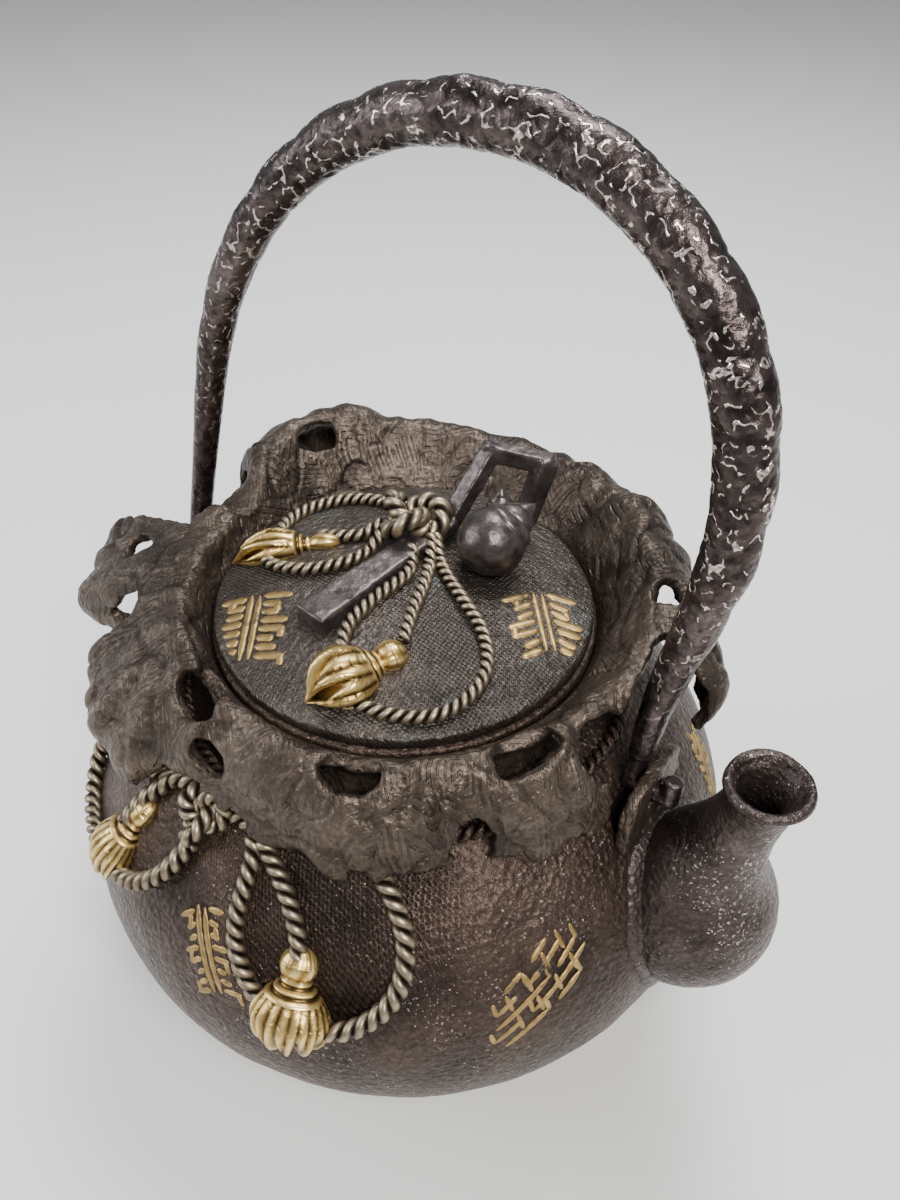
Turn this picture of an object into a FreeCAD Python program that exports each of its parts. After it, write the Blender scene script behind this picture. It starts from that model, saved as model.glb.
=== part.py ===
import FreeCAD, Part
import math
import os

# Cast iron kettle in the form of a tied sack, with cord and tassel relief, a riveted key for a
# lid grip and a swinging bail handle. Millimetres, +Z up, origin on the floor under the middle of
# the base, +X towards the spout.

Vector = FreeCAD.Vector

# Pot
BODY_RADIUS = 80.0
BODY_HALF_HEIGHT = 58.4
BODY_CENTRE_Z = 54.0
WALL = 3.5
FLOOR_THICKNESS = 4.5
# The round wall is drawn as this many short cones from the bottom pole to the top one.
WALL_CONES = 32
NECK_RADIUS = 43.5
MOUTH_RADIUS = 38.5
SEAT_Z = 116.0

# Lid
BODY_GAP = 0.3
LID_RADIUS = 42.6
LID_EDGE = 2.6
LID_RISE = 6.0
FLANGE_RADIUS = 37.8
FLANGE_WALL = 2.5
FLANGE_DEPTH = 6.0
LID_UNDER_Z = SEAT_Z + BODY_GAP
LID_EDGE_Z = LID_UNDER_Z + LID_EDGE

# Spout
SPOUT_WALL = 2.3
SPOUT_BASE_Z = 66.0
SPOUT_BASE_RADIUS = 19.0
SPOUT_FLANGE = 1.3
SPOUT_FLANGE_WIDTH = 6.0
POUR_HOLE_RADIUS = 9.0
# Centre x and z, radius and tilt of each round section, from the pot's flank up to the lip.
SPOUT_SECTIONS = [
    (75, 48, 6.0, 0),
    (77, 51, 11.5, 0),
    (78.5, 57, 16.0, 0),
    (79.3, 66, 18.6, 0),
    (79.6, 76, 17.4, 2),
    (80.8, 87, 12.4, 8),
    (83.8, 98, 8.1, 14),
    (86.3, 107, 7.2, 8),
    (87.5, 113.6, 8.6, 0),
]

# Relief
CLEAR = 0.15
BODY_CORD_HALF = 2.4
LID_CORD_HALF = 2.1
INLAY_THICKNESS = 0.5
INLAY_BAR = 1.8
INLAY_DEPTH = 30.0

# Handle
HINGE_Z = 96.5
HANDLE_LEAN = 11.8
HANDLE_CENTRE_Z = 131.5
HANDLE_MEAN_RADIUS = 83.2
HANDLE_END_Z = 104.0
HANDLE_TOP_HALF = 6.1
HANDLE_TIP_HALF = 2.7
HOOK_HALF = 2.2
HOOK_UPTURN = 5.0
EAR_HOLE = 3.0
EAR_THICKNESS = 3.0
EAR_HALF_WIDTH = 12.0
EAR_TOP_Z = 103.5
EAR_CORNER = 7.0
FRONT_EAR_X = 63.1
REAR_EAR_X = 72.6

# Key on the lid, with its pins and their washers under the lid.
KEY_SHAFT_WIDTH = 5.6
KEY_SHAFT_HEIGHT = 5.2
KEY_ROD_WIDTH = 3.4
KEY_ROD_HEIGHT = 4.6
KEY_OVERLAP = 1.6
RIVETS = [(-7.0, -10.0), (-5.0, 6.0)]
RIVET_RADIUS = 1.5
WASHER_RADIUS = 4.0
WASHER_THICKNESS = 1.2

# Frill: a sheet that leaves the neck, rises to a crest and falls to a free edge.
FRILL_THICKNESS = 2.6
FRILL_FOOT_Z = 104.0
FRILL_ROOT_Z = 112.0
FRILL_STEP = 4
# Angle from +X, crest radius and height, edge radius and height.
FRILL_LOBES = [
    (-180, 54, 120, 65, 111),
    (-173, 60, 120, 85, 107),
    (-164, 60, 120, 86, 106),
    (-157, 58, 119, 81, 105),
    (-150, 54, 118, 68, 109),
    (-141, 54, 118, 71, 102),
    (-130, 54, 118, 72, 98),
    (-116, 53, 118, 64, 98),
    (-104, 51, 118, 57.5, 107),
    (-92, 52, 118, 59.5, 103.5),
    (-76, 52, 118, 60, 103),
    (-64, 52, 118, 60, 101),
    (-52, 51, 118, 59, 102),
    (-41, 52, 118, 59.5, 104),
    (-30, 52, 118, 61, 101),
    (-12, 52, 118, 61, 101),
    (0, 53, 120, 63, 106),
    (10, 59, 125, 72, 112),
    (22, 58, 129, 69, 117),
    (40, 55, 130, 65, 119),
    (57, 56, 129, 67, 117),
    (75, 59, 125, 70, 113),
    (95, 60, 124, 71, 112),
    (115, 60, 125, 72, 113),
    (139, 63, 130, 76, 117),
    (152, 62, 131, 77, 118),
    (165, 57, 129, 67, 119),
    (173, 53, 124, 60, 115),
    (180, 54, 120, 65, 111),
]
# Angle, radius, height, half width across and along the sheet, and the hole axis' elevation.
FRILL_HOLES = [
    (-165, 66, 117.5, 4.4, 3.0, 80),
    (-149, 68, 108, 4.6, 6.0, 70),
    (-110, 53, 117, 6.0, 3.8, 55),
    (-100, 55, 111, 3.8, 3.2, 45),
    (-65.5, 51.5, 117.5, 6.2, 3.2, 60),
    (-40.5, 58, 105, 4.2, 5.2, 45),
    (-26.5, 54, 117, 7.0, 3.3, 55),
    (-9, 57, 113, 5.4, 5.4, 50),
    (26, 53, 122, 3.8, 3.2, 0),
    (150, 56, 127, 4.2, 2.8, 10),
]
LEG_NOTCH_LOW = -10.0
LEG_NOTCH_HIGH = 11.5


def smooth(values, t):
    """Blend four neighbouring values into a smooth curve between the middle two."""
    before, start, end, after = values
    slope_in = (end - before) / 2.0
    slope_out = (after - start) / 2.0
    rise = end - start
    return start + t * (slope_in + t * (3 * rise - 2 * slope_in - slope_out
                                        + t * (slope_in + slope_out - 2 * rise)))


def skin(sections, closed):
    """Solid between neighbouring outlines of equal length, in a ring or with flat ends."""
    count = len(sections[0])
    points = [point for section in sections for point in section]
    facets = []
    spans = len(sections) if closed else len(sections) - 1
    for i in range(spans):
        low = i * count
        high = ((i + 1) % len(sections)) * count
        for j in range(count):
            k = (j + 1) % count
            facets.append((low + j, low + k, high + k))
            facets.append((low + j, high + k, high + j))
    if not closed:
        last = (len(sections) - 1) * count
        for j in range(1, count - 1):
            facets.append((0, j + 1, j))
            facets.append((last, last + j, last + j + 1))
    shape = Part.Shape()
    shape.makeShapeFromMesh((points, facets), 0.001)
    solid = Part.makeSolid(shape)
    if solid.Volume < 0:
        solid.reverse()
    return solid


def spheroid(grow):
    """The pot's round form, grown outwards by a distance, as a stack of short cones."""
    profile = []
    for i in range(WALL_CONES + 1):
        rise = math.pi * (i / WALL_CONES - 0.5)
        radius = (BODY_RADIUS + grow) * math.cos(rise)
        height = (BODY_HALF_HEIGHT + grow) * math.sin(rise)
        profile.append(Vector(max(0.0, radius), 0, BODY_CENTRE_Z + height))
    profile[0].x = 0
    profile[-1].x = 0
    face = Part.Face(Part.makePolygon(profile + [profile[0]]))
    return face.revolve(Vector(0, 0, 0), Vector(0, 0, 1), 360)


def cylinder(radius, low, high):
    """Upright cylinder on the pot's axis."""
    return Part.makeCylinder(radius, high - low, Vector(0, 0, low))


def body_place(azimuth, z, height):
    """Point at a height above the pot's surface."""
    rise = (z - BODY_CENTRE_Z) / BODY_HALF_HEIGHT
    radius = BODY_RADIUS * math.sqrt(1 - rise * rise)
    turn = math.radians(azimuth)
    outward = Vector(math.cos(turn), math.sin(turn), 0)
    normal = outward * (radius / BODY_RADIUS ** 2) + Vector(0, 0, rise / BODY_HALF_HEIGHT)
    return outward * radius + Vector(0, 0, z) + normal.normalize() * height


def lid_place(x, y, height):
    """Point at a height above the lid's dome."""
    slope = 2 * LID_RISE / LID_RADIUS ** 2
    normal = Vector(slope * x, slope * y, 1).normalize()
    surface = Vector(x, y, LID_EDGE_Z + LID_RISE - slope * (x * x + y * y) / 2)
    return surface + normal * height


def strand(place, route, half_width, height, steps=4):
    """Raised strand with a domed section along a route of surface coordinates.

    half_width and height are functions of the distance along the route, from 0 to 1."""
    padded = [route[0]] + route + [route[-1]]
    spans = len(route) - 1
    stations = []
    for i in range(spans):
        window = padded[i:i + 4]
        last = steps + 1 if i == spans - 1 else steps
        for j in range(last):
            t = j / steps
            stations.append([smooth([point[axis] for point in window], t) for axis in (0, 1)])
    base = [place(u, v, 0) for u, v in stations]
    up = [place(u, v, 1) - place(u, v, 0) for u, v in stations]
    sections = []
    for i in range(len(stations)):
        along = base[min(i + 1, len(base) - 1)] - base[max(i - 1, 0)]
        side = along.cross(up[i]).normalize()
        s = i / (len(stations) - 1)
        outline = []
        for j in range(7):
            turn = math.pi * j / 6
            across = side * (half_width(s) * math.cos(turn))
            outline.append(base[i] + across + up[i] * (CLEAR + height(s) * math.sin(turn)))
        sections.append(outline)
    return skin(sections, False)


def cord(place, route, half):
    """Cast cord of constant thickness."""
    return strand(place, route, lambda s: half, lambda s: 1.9 * half)


def tassel(place, route, half, height):
    """Cast tassel: a narrow head, a shoulder and a skirt that widens and closes."""
    def swell(s):
        if s > 0.92:
            return 0.55
        return 0.35 + 0.65 * math.sin(math.pi * min(1.0, 0.12 + 0.95 * s)) ** 0.7
    return strand(place, route, lambda s: half * swell(s), lambda s: height * swell(s))


def knot(place, route, half, height):
    """Cast knot: one rounded lump along a short route."""
    def swell(s):
        return 0.45 + 0.55 * max(0.0, math.sin(math.pi * s)) ** 0.6
    return strand(place, route, lambda s: half * swell(s), lambda s: height * swell(s))


def kettle_body():
    """Hollow pot with a flat base, a neck with the lid seat and the wall hole to the spout."""
    outer = spheroid(0).fuse(cylinder(NECK_RADIUS, BODY_CENTRE_Z, SEAT_Z))
    outer = outer.common(cylinder(BODY_RADIUS + 1, 0, SEAT_Z))
    inner = spheroid(-WALL).common(cylinder(BODY_RADIUS, FLOOR_THICKNESS, SEAT_Z))
    mouth = cylinder(MOUTH_RADIUS, BODY_CENTRE_Z, SEAT_Z + 1)
    pour_hole = Part.makeCylinder(POUR_HOLE_RADIUS, BODY_RADIUS, Vector(60, 0, SPOUT_BASE_Z),
                                  Vector(1, 0, 0))
    return outer.cut(inner.fuse(mouth)).cut(pour_hole)


def spout_form(shrink, top_extra):
    """Stack of round sections from the pot's flank up to the lip."""
    wires = []
    for x, z, radius, tilt in SPOUT_SECTIONS:
        normal = Vector(math.sin(math.radians(tilt)), 0, math.cos(math.radians(tilt)))
        extra = top_extra if z == SPOUT_SECTIONS[-1][1] else 0
        circle = Part.Circle(Vector(x, 0, z) + normal * extra, normal, radius - shrink)
        wires.append(Part.Wire(circle.toShape()))
    return Part.makeLoft(wires, True)


def spout():
    """Hollow spout with a thin flange that stands on the pot's wall over the pour hole."""
    hollow = spout_form(0, 0).cut(spout_form(SPOUT_WALL, 0.5)).cut(spheroid(0.05))
    middle = Vector(60, 0, SPOUT_BASE_Z)
    pad = Part.makeCylinder(SPOUT_BASE_RADIUS, 40, middle, Vector(1, 0, 0))
    bore = Part.makeCylinder(SPOUT_BASE_RADIUS - SPOUT_FLANGE_WIDTH, 40, middle, Vector(1, 0, 0))
    pad = pad.cut(bore)
    flange = pad.common(spheroid(SPOUT_FLANGE)).cut(spheroid(0.05))
    return hollow.fuse(flange.cut(spout_form(SPOUT_WALL, 0.5)))


def frill_values(angle):
    """Crest and edge of the frill's sheet at an angle."""
    for i in range(len(FRILL_LOBES) - 1):
        start = FRILL_LOBES[i]
        end = FRILL_LOBES[i + 1]
        if start[0] <= angle <= end[0]:
            t = (angle - start[0]) / (end[0] - start[0])
            ease = t * t * (3 - 2 * t)
            return [start[k] + (end[k] - start[k]) * ease for k in range(1, 5)]


def frill_outline(angle):
    """Closed section of the frill at an angle: a curved strip of constant thickness."""
    crest_r, crest_z, edge_r, edge_z = frill_values(angle)
    half = FRILL_THICKNESS / 2
    root = (NECK_RADIUS + 0.1 + half, FRILL_ROOT_Z)
    edge = (edge_r - half, edge_z + half)
    pull = [(8 * crest - a - b) / 6 for crest, a, b in zip((crest_r, crest_z), root, edge)]
    line = [(root[0], FRILL_FOOT_Z), (root[0], (FRILL_FOOT_Z + FRILL_ROOT_Z) / 2)]
    for i in range(9):
        t = i / 8
        weights = ((1 - t) ** 3, 3 * t * (1 - t), t ** 3)
        line.append(tuple(weights[0] * root[k] + weights[1] * pull[k] + weights[2] * edge[k]
                          for k in (0, 1)))
    turn = math.radians(angle)
    over = []
    under = []
    for i in range(len(line)):
        ahead = line[min(i + 1, len(line) - 1)]
        behind = line[max(i - 1, 0)]
        run = math.hypot(ahead[0] - behind[0], ahead[1] - behind[1])
        normal = (-(ahead[1] - behind[1]) / run, (ahead[0] - behind[0]) / run)
        for side, sign in ((over, 1), (under, -1)):
            radius = max(line[i][0] + sign * half * normal[0], NECK_RADIUS + 0.1)
            z = line[i][1] + sign * half * normal[1]
            side.append(Vector(radius * math.cos(turn), radius * math.sin(turn), z))
    return over + under[::-1]


def frill_hole(angle, radius, z, across, along, elevation):
    """Oval cutter through the frill's sheet."""
    cutter = Part.makeCylinder(1, 24, Vector(0, 0, -12))
    scale = FreeCAD.Matrix()
    scale.scale(along, across, 1)
    cutter = cutter.transformGeometry(scale)
    cutter.rotate(Vector(0, 0, 0), Vector(0, 1, 0), 90 - elevation)
    cutter.rotate(Vector(0, 0, 0), Vector(0, 0, 1), angle)
    turn = math.radians(angle)
    cutter.translate(Vector(radius * math.cos(turn), radius * math.sin(turn), z))
    return cutter


def sack_frill():
    """Flared mouth of the sack with its holes and the two notches for the handle's legs."""
    sheet = skin([frill_outline(angle) for angle in range(-180, 180, FRILL_STEP)], True)
    cutters = [frill_hole(*hole) for hole in FRILL_HOLES]
    for low_x in (56, -92):
        corner = Vector(low_x, LEG_NOTCH_LOW, HINGE_Z)
        cutters.append(Part.makeBox(36, LEG_NOTCH_HIGH - LEG_NOTCH_LOW, 50, corner))
    return sheet.cut(cutters)


def ear(inner_x, direction):
    """Upright plate on the pot's shoulder with the hole that the handle's hook turns in."""
    start = inner_x if direction > 0 else -inner_x - EAR_THICKNESS
    plate = Part.makeBox(EAR_THICKNESS, 2 * EAR_HALF_WIDTH, EAR_TOP_Z - BODY_CENTRE_Z,
                         Vector(start, -EAR_HALF_WIDTH, BODY_CENTRE_Z))
    upright = [edge for edge in plate.Edges
               if edge.CenterOfMass.z > EAR_TOP_Z - 0.1 and edge.Length < EAR_THICKNESS + 0.1]
    plate = plate.makeFillet(EAR_CORNER, upright)
    hole = Part.makeCylinder(EAR_HOLE, 3 * EAR_THICKNESS, Vector(start - EAR_THICKNESS, 0, HINGE_Z),
                             Vector(1, 0, 0))
    return plate.cut(spheroid(0.05)).cut(hole)


def neck_cord():
    """Tie cord round the foot of the neck."""
    route = [(angle, 98.6) for angle in range(-180, 181, 10)]
    return strand(body_place, route, lambda s: BODY_CORD_HALF, lambda s: 1.5 * BODY_CORD_HALF, 1)


def fret(half_long, half_wide, rows):
    """Tall parallel bars tied by two cross bars, centred on the origin."""
    low = -INLAY_DEPTH / 2
    bars = []
    for i in range(rows):
        y = -half_wide + 2 * half_wide * i / (rows - 1)
        reach = half_long * (1.0 if i % 2 else 0.72)
        bars.append(Part.makeBox(2 * reach, INLAY_BAR, INLAY_DEPTH,
                                 Vector(-reach, y - INLAY_BAR / 2, low)))
    for x in (-half_long / 2, half_long / 2):
        bars.append(Part.makeBox(INLAY_BAR, 2 * half_wide, INLAY_DEPTH, Vector(x, -half_wide, low)))
    return bars[0].fuse(bars[1:])


def body_fret(azimuth, z, tilt, half_long, half_wide, rows):
    """Fret laid thinly on the pot's surface."""
    bars = fret(half_long, half_wide, rows)
    spot = body_place(azimuth, z, 0)
    normal = body_place(azimuth, z, 1) - spot
    bars.rotate(Vector(0, 0, 0), Vector(0, 0, 1), tilt + azimuth + 90)
    seat = FreeCAD.Placement(spot, FreeCAD.Rotation(Vector(0, 0, 1), normal))
    bars.Placement = seat.multiply(bars.Placement)
    return bars.common(spheroid(CLEAR + INLAY_THICKNESS).cut(spheroid(CLEAR)))


def lid_fret(x, y, tilt, half_long, half_wide, rows):
    """Fret laid thinly on the lid's dome."""
    bars = fret(half_long, half_wide, rows)
    bars.rotate(Vector(0, 0, 0), Vector(0, 0, 1), tilt)
    bars.translate(Vector(x, y, LID_EDGE_Z))
    return bars.common(lid_dome(CLEAR + INLAY_THICKNESS).cut(lid_dome(CLEAR)))


def lid_dome(lift):
    """Solid under the lid's domed top, raised by a distance."""
    top = Vector(0, 0, LID_EDGE_Z + LID_RISE + lift)
    rim = Vector(LID_RADIUS, 0, LID_EDGE_Z + lift)
    middle = Vector(LID_RADIUS / 2, 0, LID_EDGE_Z + LID_RISE * 0.75 + lift)
    foot = Vector(LID_RADIUS, 0, LID_UNDER_Z)
    centre = Vector(0, 0, LID_UNDER_Z)
    edges = [Part.Arc(top, middle, rim).toShape()]
    for start, end in ((rim, foot), (foot, centre), (centre, top)):
        edges.append(Part.LineSegment(start, end).toShape())
    return Part.Face(Part.Wire(edges)).revolve(Vector(0, 0, 0), Vector(0, 0, 1), 360)


def lid_plate():
    """Domed lid, hollowed from below, with the flange that centres it in the mouth."""
    plate = lid_dome(0)
    hollow_top = LID_UNDER_Z + 3.0
    hollow = Part.makeCone(FLANGE_RADIUS - FLANGE_WALL, 16.0, hollow_top - LID_UNDER_Z,
                           Vector(0, 0, LID_UNDER_Z))
    flange = cylinder(FLANGE_RADIUS, LID_UNDER_Z - FLANGE_DEPTH, LID_UNDER_Z).cut(
        cylinder(FLANGE_RADIUS - FLANGE_WALL, LID_UNDER_Z - FLANGE_DEPTH - 1, LID_UNDER_Z))
    lid = plate.cut(hollow).fuse(flange)
    for x, y in RIVETS:
        lid = lid.cut(Part.makeCylinder(RIVET_RADIUS, 30, Vector(x, y, LID_UNDER_Z - 10)))
    return lid


def bar(start, end, width, height):
    """Rectangular bar between two points, its height measured square to its run and most upright."""
    run = end - start
    solid = Part.makeBox(run.Length, width, height, Vector(0, -width / 2, -height / 2))
    along = run.normalize()
    side = Vector(0, 0, 1).cross(along).normalize()
    turn = FreeCAD.Rotation(along, side, along.cross(side), "XYZ")
    solid.Placement = FreeCAD.Placement(start, turn)
    return solid


def lid_key():
    """Storehouse key: a shaft on the lid and a square hook that stands up as the grip."""
    shaft_half = KEY_SHAFT_HEIGHT / 2
    low = lid_place(-8, -22, CLEAR + shaft_half)
    low.z = lid_place(-6, 8, CLEAR + shaft_half).z
    turn_up = Vector(-1.5, 21, low.z + 1.5)
    stand = Vector(1, 33, LID_EDGE_Z + 21.5)
    over = Vector(14, 36, LID_EDGE_Z + 21.5)
    down = Vector(11.5, 33, LID_EDGE_Z + 8)
    key = bar(low, turn_up, KEY_SHAFT_WIDTH, KEY_SHAFT_HEIGHT)
    for start, end in ((turn_up, stand), (stand, over), (over, down)):
        step = (end - start).normalize() * KEY_OVERLAP
        key = key.fuse(bar(start - step, end + step, KEY_ROD_WIDTH, KEY_ROD_HEIGHT))
    return key.cut(lid_dome(CLEAR))


def rivets():
    """Pins that hold the key's shaft, headed under the lid."""
    pins = []
    for x, y in RIVETS:
        top = lid_place(x, y, 0.0).z
        pins.append(Part.makeCylinder(RIVET_RADIUS - 0.05, top - LID_UNDER_Z + 1.0,
                                      Vector(x, y, LID_UNDER_Z - 1.0)))
    return Part.makeCompound(pins)


def washers():
    """Washers under the lid round the pins."""
    rings = []
    for x, y in RIVETS:
        spot = Vector(x, y, LID_UNDER_Z + 1.75)
        hole = Part.makeCylinder(RIVET_RADIUS, 2 * WASHER_THICKNESS, spot)
        rings.append(Part.makeCylinder(WASHER_RADIUS, WASHER_THICKNESS, spot).cut(hole))
    return Part.makeCompound(rings)


def jewel(x, y, radius, tip):
    """Round jewel with a pointed top that leans to one side, seated on the lid."""
    centre = lid_place(x, y, radius * 0.92)
    ball = Part.makeSphere(radius, centre)
    cone = Part.makeCone(radius * 0.72, 0.4, radius * 0.95, centre + tip * (radius * 0.62), tip)
    return ball.fuse(cone).cut(lid_dome(CLEAR))


def handle_point(theta):
    """Point of the handle's centre line, upright, by its angle from the top."""
    radius = (HANDLE_MEAN_RADIUS - 10.0 * math.cos(theta) + 18.2 * math.cos(2 * theta)
              - 4.2 * math.cos(3 * theta) - 1.8 * math.sin(theta) + 4.2 * math.sin(2 * theta))
    return Vector(radius * math.sin(theta), 0, HANDLE_CENTRE_Z + radius * math.cos(theta))


def handle_angle(direction):
    """Angle at which a leg of the centre line comes down to its end height."""
    low = 0.0
    high = 2.6
    for _ in range(40):
        middle = (low + high) / 2
        if handle_point(direction * middle).z > HANDLE_END_Z:
            low = middle
        else:
            high = middle
    return direction * low


def lean(shape):
    """Turn an upright handle part back to its resting lean."""
    shape.rotate(Vector(0, 0, HINGE_Z), Vector(1, 0, 0), -HANDLE_LEAN)
    return shape


def handle_bail():
    """Arched handle, thick over the top and tapering down each leg."""
    left = handle_angle(-1)
    right = handle_angle(1)
    sections = []
    stations = 60
    for i in range(stations + 1):
        s = i / stations
        theta = left + (right - left) * s
        centre = handle_point(theta)
        along = (handle_point(theta + 0.01) - handle_point(theta - 0.01)).normalize()
        across = Vector(0, 1, 0)
        up = along.cross(across)
        swell = min(1.0, 1.9 * math.sin(math.pi * s) ** 0.9) ** 1.3
        half = HANDLE_TIP_HALF + (HANDLE_TOP_HALF - HANDLE_TIP_HALF) * swell
        outline = []
        for j in range(16):
            turn = 2 * math.pi * j / 16
            outline.append(centre + across * (half * math.cos(turn)) + up * (half * math.sin(turn)))
        sections.append(outline)
    return lean(skin(sections, False))


def handle_hook(direction, ear_x):
    """Hook on the end of a leg: down, out through the ear along the hinge line, and turned up."""
    top = handle_point(handle_angle(direction))
    corner = Vector(top.x, 0, HINGE_Z)
    tip = Vector(direction * (ear_x + EAR_THICKNESS + HOOK_HALF + 0.8), 0, HINGE_Z)
    stem = Part.makeCylinder(HOOK_HALF, top.z - HINGE_Z, corner)
    pin = Part.makeCylinder(HOOK_HALF, abs(tip.x - corner.x), corner, Vector(direction, 0, 0))
    end = Part.makeCylinder(HOOK_HALF, HOOK_UPTURN, tip)
    hook = stem.fuse([Part.makeSphere(HOOK_HALF, corner), pin, Part.makeSphere(HOOK_HALF, tip), end])
    return lean(hook)


def build():
    """Every node of the kettle by name."""
    nodes = {
        "kettle_body": kettle_body(),
        "spout": spout(),
        "sack_frill": sack_frill(),
        "lug_front": ear(FRONT_EAR_X, 1),
        "lug_rear": ear(REAR_EAR_X, -1),
        "neck_cord": neck_cord(),
        "body_knot": knot(body_place, [(-99, 98.5), (-99, 95), (-98.5, 91)], 5.5, 7.5),
        "body_cord_left_loop": cord(body_place, [
            (-107, 94), (-117, 92), (-128, 89), (-137, 83), (-139, 75), (-134, 69.5), (-126, 69),
            (-116, 71.5), (-107, 76), (-101, 83), (-98.5, 89)], BODY_CORD_HALF),
        "body_cord_center_loop": cord(body_place, [
            (-91.5, 94), (-84, 93.5), (-77.5, 91), (-73, 86), (-71.5, 82)], BODY_CORD_HALF),
        "body_cord_right_loop": cord(body_place, [
            (-66, 94.5), (-60, 94), (-56, 90.5), (-54, 85), (-55, 79), (-58, 74), (-62.5, 70.5)],
            BODY_CORD_HALF),
        "body_tassel_left": tassel(body_place, [(-113, 87), (-115, 77), (-116, 67)], 6.5, 5.5),
        "body_tassel_front": tassel(body_place, [(-71.5, 81), (-71.5, 71), (-71.5, 61)], 8.0, 6.5),
        "body_inlay_left": body_fret(-87.5, 77, 60, 10.0, 4.5, 4),
        "body_inlay_front": body_fret(-33, 74, 20, 12.0, 6.5, 5),
        "body_inlay_right": body_fret(26, 76, 60, 9.0, 5.0, 4),
        "lid_plate": lid_plate(),
        "lid_key": lid_key(),
        "lid_jewel_large": jewel(12.5, 14.5, 7.8, Vector(0.35, 0.75, 0.56)),
        "lid_jewel_small": jewel(3, 34, 3.4, Vector(0, 0, 1)),
        "lid_rivets": rivets(),
        "lid_washers": washers(),
        "lid_knot": knot(lid_place, [(-17.5, 19), (-11, 16), (-4.5, 13)], 8.0, 9.0),
        "lid_cord_left_loop": cord(lid_place, [
            (-18, 20.5), (-25, 20), (-31.5, 17), (-36, 11), (-37, 4)], LID_CORD_HALF),
        "lid_cord_center_loop": cord(lid_place, [
            (-3, 9), (2.5, 5), (6.5, -1.5), (8.5, -8), (9, -14)], LID_CORD_HALF),
        "lid_cord_right_loop": cord(lid_place, [
            (5, 8), (13, 2.5), (21, -3), (27.5, -9.5), (30, -17), (28.5, -23.5), (23.5, -28.5),
            (17, -30)], LID_CORD_HALF),
        "lid_tassel_left": tassel(lid_place, [(-26, 2), (-32, -4), (-36, -11)], 5.0, 4.5),
        "lid_tassel_front": tassel(lid_place, [(9, -15), (9, -25), (7, -36)], 6.2, 5.5),
        "lid_inlay_left": lid_fret(-19, -29, 35, 7.5, 4.5, 4),
        "lid_inlay_right": lid_fret(32, 6, 75, 7.5, 4.5, 4),
        "handle_bail": handle_bail(),
        "handle_hook_front": handle_hook(1, FRONT_EAR_X),
        "handle_hook_rear": handle_hook(-1, REAR_EAR_X),
    }
    return nodes


os.makedirs("parts", exist_ok=True)
for name, shape in build().items():
    shape.exportStep("parts/" + name + ".step")
    print(name, len(shape.Solids), shape.isValid(), round(shape.Volume / 1000, 2), "cm3")
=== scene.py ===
import math
from collections import namedtuple

import bmesh
import bpy
import numpy as np
from mathutils import Matrix, Vector, noise


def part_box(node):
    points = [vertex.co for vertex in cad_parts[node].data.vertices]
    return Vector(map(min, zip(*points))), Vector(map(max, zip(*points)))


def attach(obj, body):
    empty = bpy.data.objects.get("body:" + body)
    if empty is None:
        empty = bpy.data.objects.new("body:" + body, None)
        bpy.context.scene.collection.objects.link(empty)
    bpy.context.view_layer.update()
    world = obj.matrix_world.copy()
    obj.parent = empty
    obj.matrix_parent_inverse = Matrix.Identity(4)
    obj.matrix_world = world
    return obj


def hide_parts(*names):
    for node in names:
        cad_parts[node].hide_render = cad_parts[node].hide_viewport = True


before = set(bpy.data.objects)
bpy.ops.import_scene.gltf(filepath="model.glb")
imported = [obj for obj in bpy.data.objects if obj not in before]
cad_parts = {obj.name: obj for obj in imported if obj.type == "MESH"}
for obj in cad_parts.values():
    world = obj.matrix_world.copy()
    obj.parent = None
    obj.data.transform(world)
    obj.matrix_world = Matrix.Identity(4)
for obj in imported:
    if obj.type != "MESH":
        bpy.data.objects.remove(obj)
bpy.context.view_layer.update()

# Everything is in metres, in the kettle's frame: +Z up, origin on the floor under the base,
# +X towards the spout. The camera looks from the -Y side.

MM = 0.001

# ---- dimensions

BODY_RADIUS = 80.0 * MM
BODY_HALF_HEIGHT = 58.4 * MM
BODY_CENTRE_Z = 54.0 * MM
WALL = 3.5 * MM
FLOOR_THICKNESS = 4.5 * MM
NECK_RADIUS = 43.5 * MM
MOUTH_RADIUS = 38.5 * MM
SEAT_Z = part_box("kettle_body")[1].z
POUR_HOLE_AT = (78 * MM, 0, 66 * MM)
POUR_HOLE_RADIUS = 9 * MM

LID_UNDER_Z = SEAT_Z + 0.3 * MM
LID_RADIUS = 42.6 * MM
LID_RISE = 6.0 * MM
LID_EDGE_Z = LID_UNDER_Z + 2.6 * MM
FLANGE_RADIUS = 37.8 * MM
FLANGE_WALL = 2.5 * MM
FLANGE_END_Z = LID_UNDER_Z - 6.0 * MM

HINGE_Z = 96.5 * MM
HANDLE_LEAN = math.radians(11.8)
HANDLE_CENTRE_Z = 131.5 * MM
HANDLE_END_Z = 104.0 * MM

# Half widths of the cords, in millimetres.
BODY_CORD = 2.25
LID_CORD = 1.65
NECK_CORD = 1.9

CAMERA_AT = Vector((108.2, -139.6, 274.9)) * MM
CAMERA_AZIMUTH = math.radians(34.47)
CAMERA_ELEVATION = math.radians(41.69)
CAMERA_ROLL = math.radians(0.34)
CAMERA_LENS = 31.23


# ---- numbers to meshes

def add_object(name, data):
    """New object in the scene."""
    obj = bpy.data.objects.new(name, data)
    bpy.context.scene.collection.objects.link(obj)
    return obj


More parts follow.
